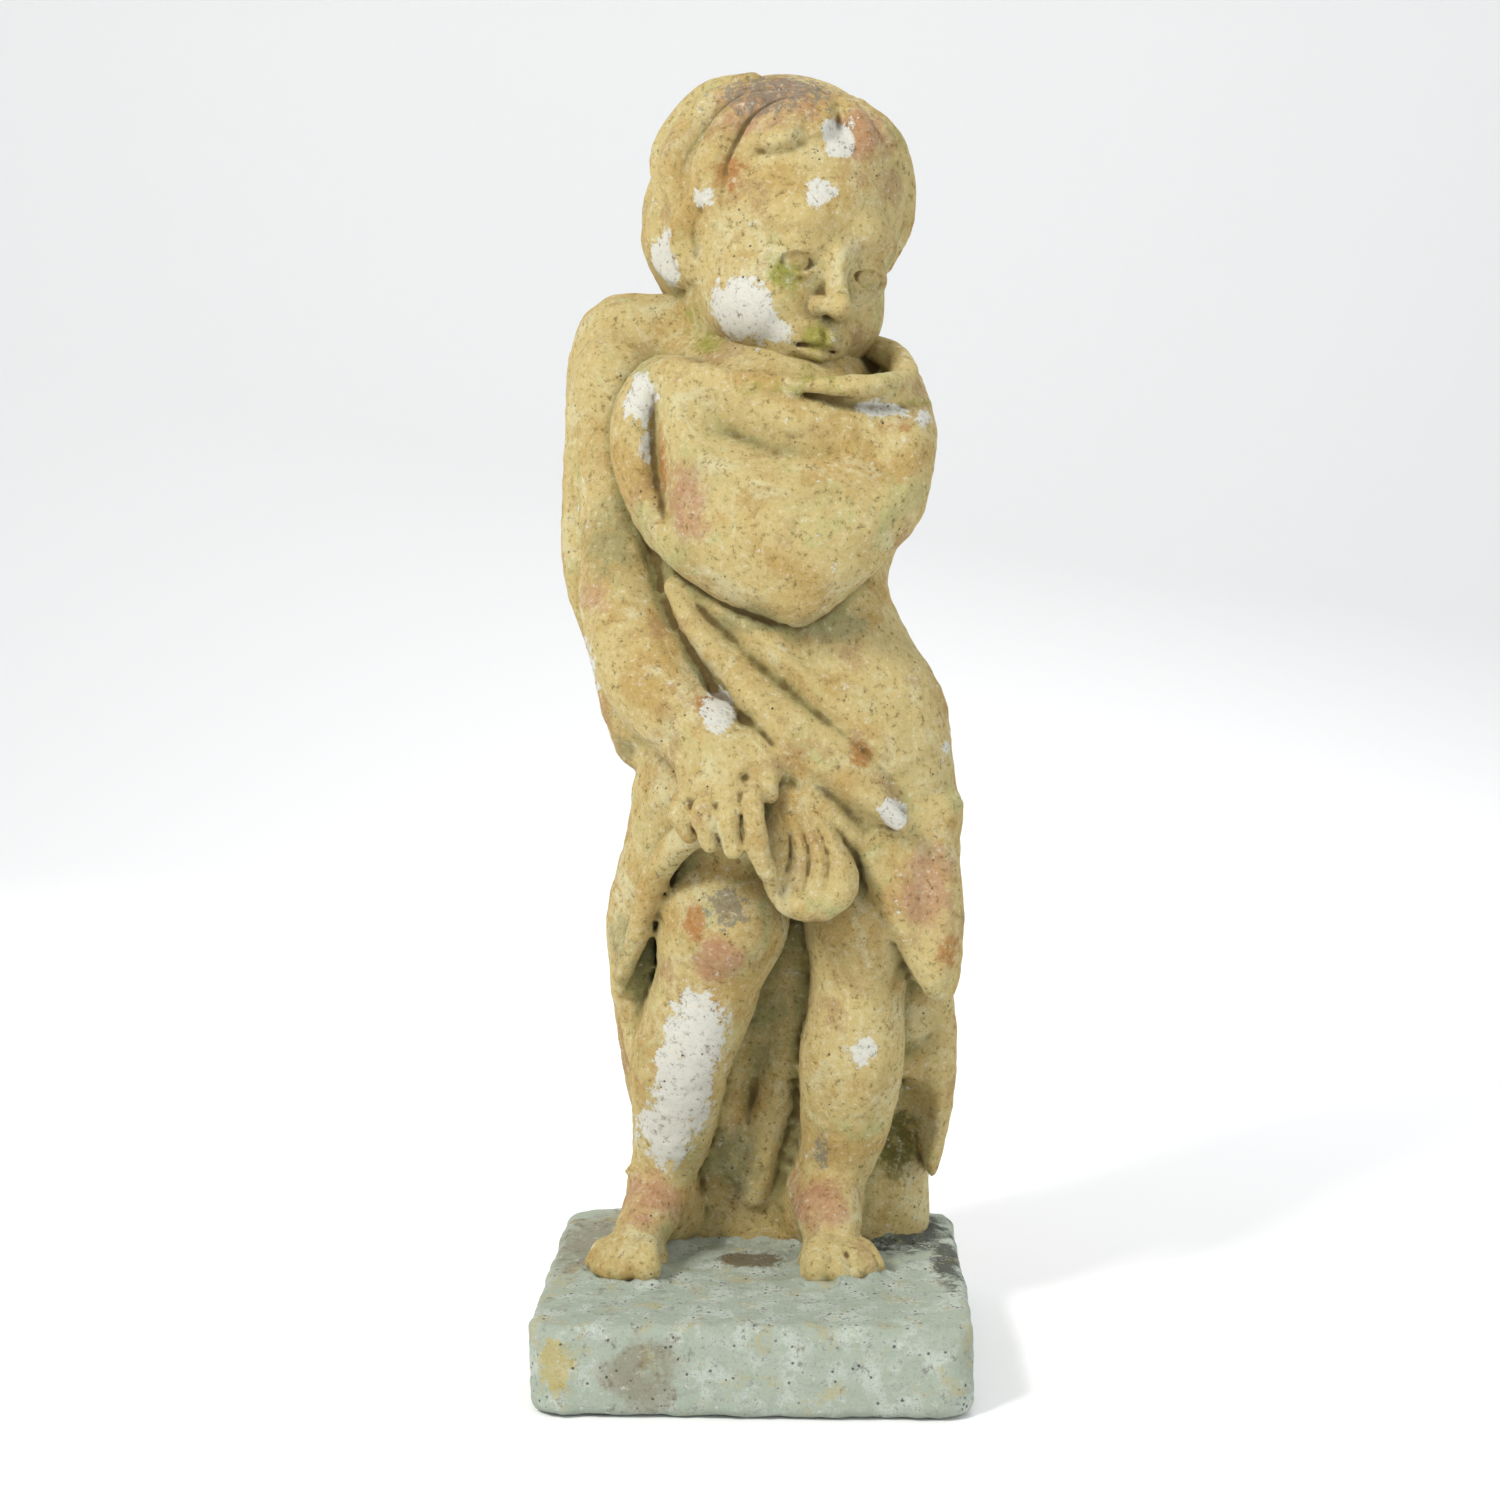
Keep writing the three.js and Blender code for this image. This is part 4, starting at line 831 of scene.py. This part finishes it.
class Paint:
    """A stone material, painted in layers over its ground colour."""

    def __init__(self, name, ground):
        self.material = bpy.data.materials.new(name)
        self.material.use_nodes = True
        self.tree = self.material.node_tree
        self.shader = self.tree.nodes["Principled BSDF"]
        self.shader.inputs["Specular IOR Level"].default_value = 0.25
        self.where = self.tree.nodes.new("ShaderNodeTexCoord").outputs["Object"]
        self.colour = self.socket(shade(ground))

    def socket(self, colour):
        """The output of a new node that holds one colour."""
        node = self.tree.nodes.new("ShaderNodeRGB")
        node.outputs[0].default_value = colour
        return node.outputs[0]

    def put(self, socket, value):
        """Links an input to a socket, or sets it to a plain value."""
        if isinstance(value, bpy.types.NodeSocket):
            self.tree.links.new(value, socket)
        else:
            socket.default_value = value

    def maths(self, kind, a, b):
        node = self.tree.nodes.new("ShaderNodeMath")
        node.operation = kind
        self.put(node.inputs[0], a)
        self.put(node.inputs[1], b)
        return node.outputs[0]

    def noise(self, size, detail, rough=0.6, bend=0.0):
        """Noise from 0 to 1 with features of a size in millimetres."""
        node = self.tree.nodes.new("ShaderNodeTexNoise")
        self.put(node.inputs["Vector"], self.where)
        node.inputs["Scale"].default_value = 1000 / size
        node.inputs["Detail"].default_value = detail
        node.inputs["Roughness"].default_value = rough
        node.inputs["Distortion"].default_value = bend
        return node.outputs["Fac"]

    def spots(self, size, share):
        """1 inside round spots with soft rims, set in cells of a size in millimetres. Their radius
        is a share of a cell."""
        node = self.tree.nodes.new("ShaderNodeTexVoronoi")
        self.put(node.inputs["Vector"], self.where)
        node.inputs["Scale"].default_value = 1000 / size
        return self.between(node.outputs["Distance"], share, share * (1 - SPOT_RIM))

    def mark(self, name):
        """One of the numbers that stone_piece gives each vertex."""
        node = self.tree.nodes.new("ShaderNodeAttribute")
        node.attribute_name = name
        return node.outputs["Fac"]

    def between(self, value, low, high, top=1.0):
        """0 where value is low, rising smoothly to top where it is high."""
        node = self.tree.nodes.new("ShaderNodeMapRange")
        node.interpolation_type = "SMOOTHSTEP"
        self.put(node.inputs["Value"], value)
        for key, number in (("From Min", low), ("From Max", high), ("To Min", 0.0), ("To Max", top)):
            node.inputs[key].default_value = number
        return node.outputs[0]

    def lay(self, code, cover):
        """Lays a colour over what is there, where cover is 1."""
        node = self.tree.nodes.new("ShaderNodeMix")
        node.data_type = "RGBA"
        node.clamp_factor = True
        self.put(node.inputs[0], cover)
        self.put(node.inputs[6], self.colour)
        self.put(node.inputs[7], shade(code))
        self.colour = node.outputs[2]

    def patch(self, name, size, low, high, spread=0.5, detail=6.0):
        """The cover of a growth or stain: where a mark and ragged noise together are enough."""
        centred = self.maths("SUBTRACT", self.noise(size, detail, 0.72), 0.5)
        ragged = self.maths("MULTIPLY", centred, spread * 4)
        return self.between(self.maths("ADD", self.mark(name), ragged), low, high)

    def finish(self, height, roughness):
        """height in millimetres gives the bump."""
        bump = self.tree.nodes.new("ShaderNodeBump")
        bump.inputs["Distance"].default_value = 0.001
        bump.inputs["Strength"].default_value = 1.0
        self.put(bump.inputs["Height"], height)
        self.put(self.shader.inputs["Normal"], bump.outputs["Normal"])
        self.put(self.shader.inputs["Base Color"], self.colour)
        self.put(self.shader.inputs["Roughness"], roughness)
        return self.material


def figure_stone():
    """Buff limestone: ochre, pink and cream in drifts, white lichen on what faces the weather, and green and
    grey growth, with olive grey in the hollows that is partly growth there and partly painted shade. Its
    grain is crisp: pale crests and brown crevices, partly its own grain and partly painted highlight and
    painted shade, and its creases are darkened with painted shade."""
    p = Paint("figure_stone", "e3cd8c")
    p.lay("cca65f", p.between(p.noise(46, 7, 0.68, 0.5), 0.46, 0.62, 0.7))
    p.lay("efe5b4", p.between(p.noise(30, 7, 0.7, 0.8), 0.5, 0.66, 0.75))
    p.lay("bc9468", p.between(p.noise(38, 6, 0.7), 0.54, 0.66, 0.6))
    p.lay("c9cd8c", p.between(p.noise(52, 6, 0.68, 0.4), 0.55, 0.66, 0.5))
    p.lay("c98f72", p.maths("MULTIPLY", p.patch("pink", 16, 0.45, 1.0), 0.65))
    p.lay("bd7431", p.maths("MULTIPLY", p.patch("orange", 12, 0.5, 1.0), 0.7))
    # Olive grey darkening the hollows: partly growth there, partly painted shade.
    hollow = p.between(p.mark("hollow"), 0.54, 0.7)
    p.lay("8e8f58", p.maths("MULTIPLY", hollow, 0.65))
    p.lay("9fa173", p.maths("MULTIPLY", p.patch("grey", 18, 0.45, 1.1), 0.6))
    p.lay("9da02c", p.maths("MULTIPLY", p.patch("green", 11, 0.45, 1.1), 0.75))
    p.lay("5f5f1c", p.maths("MULTIPLY", p.patch("moss", 8, 0.45, 1.1), 0.85))
    p.lay("8a867b", p.maths("MULTIPLY", p.patch("dark", 5, 0.6, 1.0, 0.8), 0.7))
    lichen = p.patch("white", 10, 0.42, 0.56, 0.75, 10.0)
    p.lay("f8f8ee", p.maths("MULTIPLY", lichen, 0.92))
    grain = p.noise(4.2, 9, 0.8)
    # Painted highlight and painted shade on the grain, partly its own colour: darker in the troughs of the
    # grain and paler on its crests, which the bump below raises.
    p.lay("7b5f2c", p.between(grain, 0.47, 0.36, 0.75))
    p.lay("fbf5d6", p.between(grain, 0.54, 0.66, 0.7))
    # Painted shade: the creases darkened with brown.
    p.lay("6b5026", p.between(p.mark("crease"), 0.56, 0.68, 0.8))
    crumbs = p.between(p.noise(14, 10, 0.85), 0.59, 0.66, 0.85)
    p.lay("f9f7ea", p.maths("MULTIPLY", crumbs, p.between(p.mark("crease"), 0.54, 0.46)))
    pits = p.maths("MULTIPLY", p.spots(7, 0.13), p.between(p.noise(30, 3), 0.52, 0.6))
    p.lay("43331c", p.maths("MULTIPLY", pits, 0.8))
    fine = p.noise(1.6, 7, 0.8)
    p.lay("6d5228", p.between(fine, 0.54, 0.7, 0.4))
    height = p.maths("ADD", p.maths("MULTIPLY", grain, 5.0), p.maths("MULTIPLY", fine, 0.8))
    height = p.maths("ADD", height, p.maths("MULTIPLY", lichen, 0.4))
    height = p.maths("SUBTRACT", height, p.maths("MULTIPLY", pits, 1.5))
    return p.finish(height, 0.92)


def plinth_stone():
    """Grey-green cast stone: pale and mint, with yellow and brown stains, black towards its rear corner, and
    painted shade in its creases."""
    p = Paint("plinth_stone", "c2cdbb")
    p.lay("e2ebdf", p.between(p.noise(16, 9, 0.78), 0.47, 0.58, 0.9))
    p.lay("d0c89a", p.between(p.noise(26, 8, 0.72), 0.53, 0.64, 0.75))
    p.lay("86897a", p.between(p.noise(8, 10, 0.82), 0.52, 0.63, 0.8))
    p.lay("8c7a58", p.maths("MULTIPLY", p.patch("brown", 16, 0.4, 1.1, 0.7), 0.6))
    p.lay("45463d", p.maths("MULTIPLY", p.patch("black", 14, 0.4, 1.0, 0.8), 0.85))
    p.lay("7a6847", p.maths("MULTIPLY", p.patch("tan", 7, 0.5, 0.8, 0.3), 0.85))
    p.lay("dcc35e", p.maths("MULTIPLY", p.patch("yellow", 9, 0.5, 0.9, 0.7), 0.6))
    # Painted shade: the plinth's creases darkened.
    p.lay("6f6748", p.between(p.mark("crease"), 0.56, 0.7, 0.8))
    p.lay("f6f8f0", p.between(p.noise(7, 9, 0.82), 0.57, 0.65, 0.85))
    specks = p.maths("MULTIPLY", p.spots(5, 0.22), p.between(p.noise(16, 4), 0.47, 0.55))
    p.lay("33322a", p.maths("MULTIPLY", specks, 0.75))
    fine = p.noise(1.9, 7, 0.82)
    p.lay("5d5c49", p.between(fine, 0.53, 0.7, 0.55))
    height = p.maths("ADD", p.maths("MULTIPLY", p.noise(4.4, 9, 0.82), 4.5), fine)
    return p.finish(p.maths("SUBTRACT", height, specks), 0.94)


# Where the growths and stains lie: [centre, radii] in design millimetres.
FIGURE_MARKS = {
    "white": [
        ([-8, -45, 628], [20, 30, 18]), ([8, -52, 615], [14, 25, 9]), ([38, -50, 695], [9, 25, 8]),
        ([47, -35, 727], [9, 25, 12]), ([-29, -20, 694], [7, 25, 7]), ([-54, 0, 660], [9, 20, 18]),
        ([-66, -40, 577], [9, 25, 14]), ([-96, -10, 421], [7, 25, 20]), ([-20, -60, 396], [9, 25, 13]),
        ([82, -50, 336], [9, 20, 8]), ([-35, -25, 198], [17, 40, 28]), ([-43, -20, 165], [20, 40, 32]),
        ([-56, -5, 134], [16, 30, 22]), ([64, -25, 188], [9, 20, 9]), ([111, 0, 370], [5, 20, 8]),
        ([75, -60, 570], [16, 20, 4]), ([108, 85, 104], [10, 20, 16]), ([-52, -30, 648], [8, 20, 10]),
        ([-64, -34, 548], [5, 20, 10]), ([98, -40, 566], [5, 20, 5]),
    ],
    "orange": [
        ([-15, -30, 708], [14, 30, 14]), ([-54, -60, 536], [5, 30, 34]), ([-28, -58, 399], [8, 25, 9]),
        ([114, -10, 252], [10, 30, 20]), ([-36, -40, 270], [8, 30, 16]), ([62, -40, 372], [10, 30, 10]),
        ([84, -70, 560], [14, 20, 5]),
    ],
    "pink": [
        ([-36, -65, 515], [14, 30, 26]), ([-65, 5, 92], [26, 50, 18]), ([38, 5, 90], [24, 50, 18]),
        ([100, -30, 290], [22, 40, 30]), ([-23, -45, 245], [18, 30, 20]), ([11, -10, 745], [40, 60, 26]),
        ([-92, -10, 460], [14, 30, 14]), ([60, -30, 730], [20, 40, 20]),
    ],
    "green": [
        ([20, -55, 646], [14, 20, 12]), ([60, -58, 642], [12, 20, 10]), ([36, -60, 594], [22, 25, 16]),
        ([-40, -10, 628], [9, 30, 16]), ([26, -50, 582], [40, 30, 8]), ([-26, 0, 610], [14, 30, 10]),
        ([90, -20, 575], [20, 30, 5]), ([40, -45, 612], [14, 20, 10]),
    ],
    "moss": [([88, 60, 116], [16, 30, 30]), ([80, 90, 90], [20, 30, 22])],
    "grey": [
        ([-87, -10, 493], [18, 30, 34]), ([45, -40, 447], [30, 30, 12]), ([-2, -50, 450], [26, 30, 12]),
        ([8, 50, 200], [22, 40, 60]), ([-14, 50, 108], [22, 40, 30]), ([-78, 10, 250], [14, 30, 30]),
        ([94, -20, 446], [12, 40, 18]), ([-75, 20, 370], [16, 30, 16]),
    ],
    "dark": [([-16, -45, 280], [16, 30, 16]), ([11, -10, 752], [45, 60, 24]), ([40, 0, 120], [6, 20, 14])],
}
PLINTH_MARKS = {
    "brown": [([-62, -128, 26], [26, 14, 26]), ([-100, 40, 53], [40, 80, 12])],
    "black": [([90, 70, 53], [45, 50, 12]), ([118, 10, 53], [12, 60, 20])],
    "tan": [([-4, 2, 54], [24, 20, 8])],
    "yellow": [([-112, -128, 30], [14, 14, 18])],
}


# ---------------------------------------------------------------------------------------------
# The pieces.

figure_paint = figure_stone()
plinth_paint = plinth_stone()
head_place = (TO_WORLD @ Matrix.Translation(HEAD_AT)
              @ Euler([math.radians(a) for a in HEAD_TURN], "XYZ").to_matrix().to_4x4())

standing_shape = body()
body_piece = stone_piece("putto_body", standing_shape, BODY_CELL, TO_WORLD, BODY_ROUGH, FIGURE_MARKS)
head_piece = stone_piece("putto_head", head(), HEAD_CELL, head_place, HEAD_ROUGH, FIGURE_MARKS)
for piece in (body_piece, head_piece):
    piece.data.materials.append(figure_paint)
    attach(piece, "root")
    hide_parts("putto")

slab_shape = plinth_shape(standing_shape)
plinth_piece = stone_piece("plinth_slab", slab_shape, PLINTH_CELL, TO_WORLD, PLINTH_ROUGH, PLINTH_MARKS)
plinth_piece.data.materials.append(plinth_paint)
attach(plinth_piece, "root")
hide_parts("plinth")


# ---------------------------------------------------------------------------------------------
# Camera, backdrop and light, in metres.

scene = bpy.context.scene
CAMERA_AT = (0.038, -1.489, 0.490)
CAMERA_LOOKS_DOWN = 0.0809
CAMERA_LOOKS_LEFT = 0.0279
LIGHTS_AIM = (0, 0, 0.4)


def camera():
    data = bpy.data.cameras.new("camera")
    data.sensor_width = 36
    data.lens = 59.4
    obj = bpy.data.objects.new("camera", data)
    obj.location = CAMERA_AT
    obj.rotation_euler = (math.pi / 2 - CAMERA_LOOKS_DOWN, 0, CAMERA_LOOKS_LEFT)
    scene.collection.objects.link(obj)
    scene.camera = obj


def sweep():
    """Floor and backdrop in one bent sheet, so that no horizon shows."""
    front, bend, radius, top, side, steps = -4.5, 2.2, 1.6, 6, 6, 24
    profile = [(front, 0)]
    for i in range(steps + 1):
        angle = i / steps * math.pi / 2
        profile.append((bend + radius * math.sin(angle), radius - radius * math.cos(angle)))
    profile.append((bend + radius, top))
    level = plinth_low[2] - 0.001
    points = [(x, y, z + level) for y, z in profile for x in (-side, side)]
    faces = [(2 * i, 2 * i + 1, 2 * i + 3, 2 * i + 2) for i in range(len(profile) - 1)]
    mesh = bpy.data.meshes.new("sweep")
    mesh.from_pydata(points, [], faces)
    mesh.shade_smooth()
    obj = bpy.data.objects.new("sweep", mesh)
    scene.collection.objects.link(obj)
    material = bpy.data.materials.new("sweep")
    material.use_nodes = True
    shader = material.node_tree.nodes["Principled BSDF"]
    shader.inputs["Base Color"].default_value = (0.86, 0.86, 0.86, 1)
    shader.inputs["Roughness"].default_value = 0.9
    mesh.materials.append(material)


def softbox(name, at, size, watts, colour):
    data = bpy.data.lights.new(name, "AREA")
    data.shape = "RECTANGLE"
    data.size, data.size_y = size
    data.energy = watts
    data.color = colour
    obj = bpy.data.objects.new(name, data)
    obj.location = at
    obj.rotation_euler = (Vector(LIGHTS_AIM) - Vector(at)).to_track_quat("-Z", "Y").to_euler()
    scene.collection.objects.link(obj)


def surroundings():
    world = bpy.data.worlds.new("surroundings")
    world.use_nodes = True
    background = world.node_tree.nodes["Background"]
    background.inputs["Color"].default_value = (0.96, 0.98, 1, 1)
    background.inputs["Strength"].default_value = 0.75
    scene.world = world


camera()
sweep()
surroundings()
softbox("key", (-1.5, -1.7, 2.1), (0.6, 0.6), 74, (1, 0.98, 0.94))
softbox("fill", (2.0, -1.4, 1.2), (1.4, 1.4), 16, (0.95, 0.98, 1))
softbox("back", (0.6, 2.2, 2.0), (1.2, 1.2), 30, (1, 1, 1))
scene.view_settings.view_transform = "Standard"
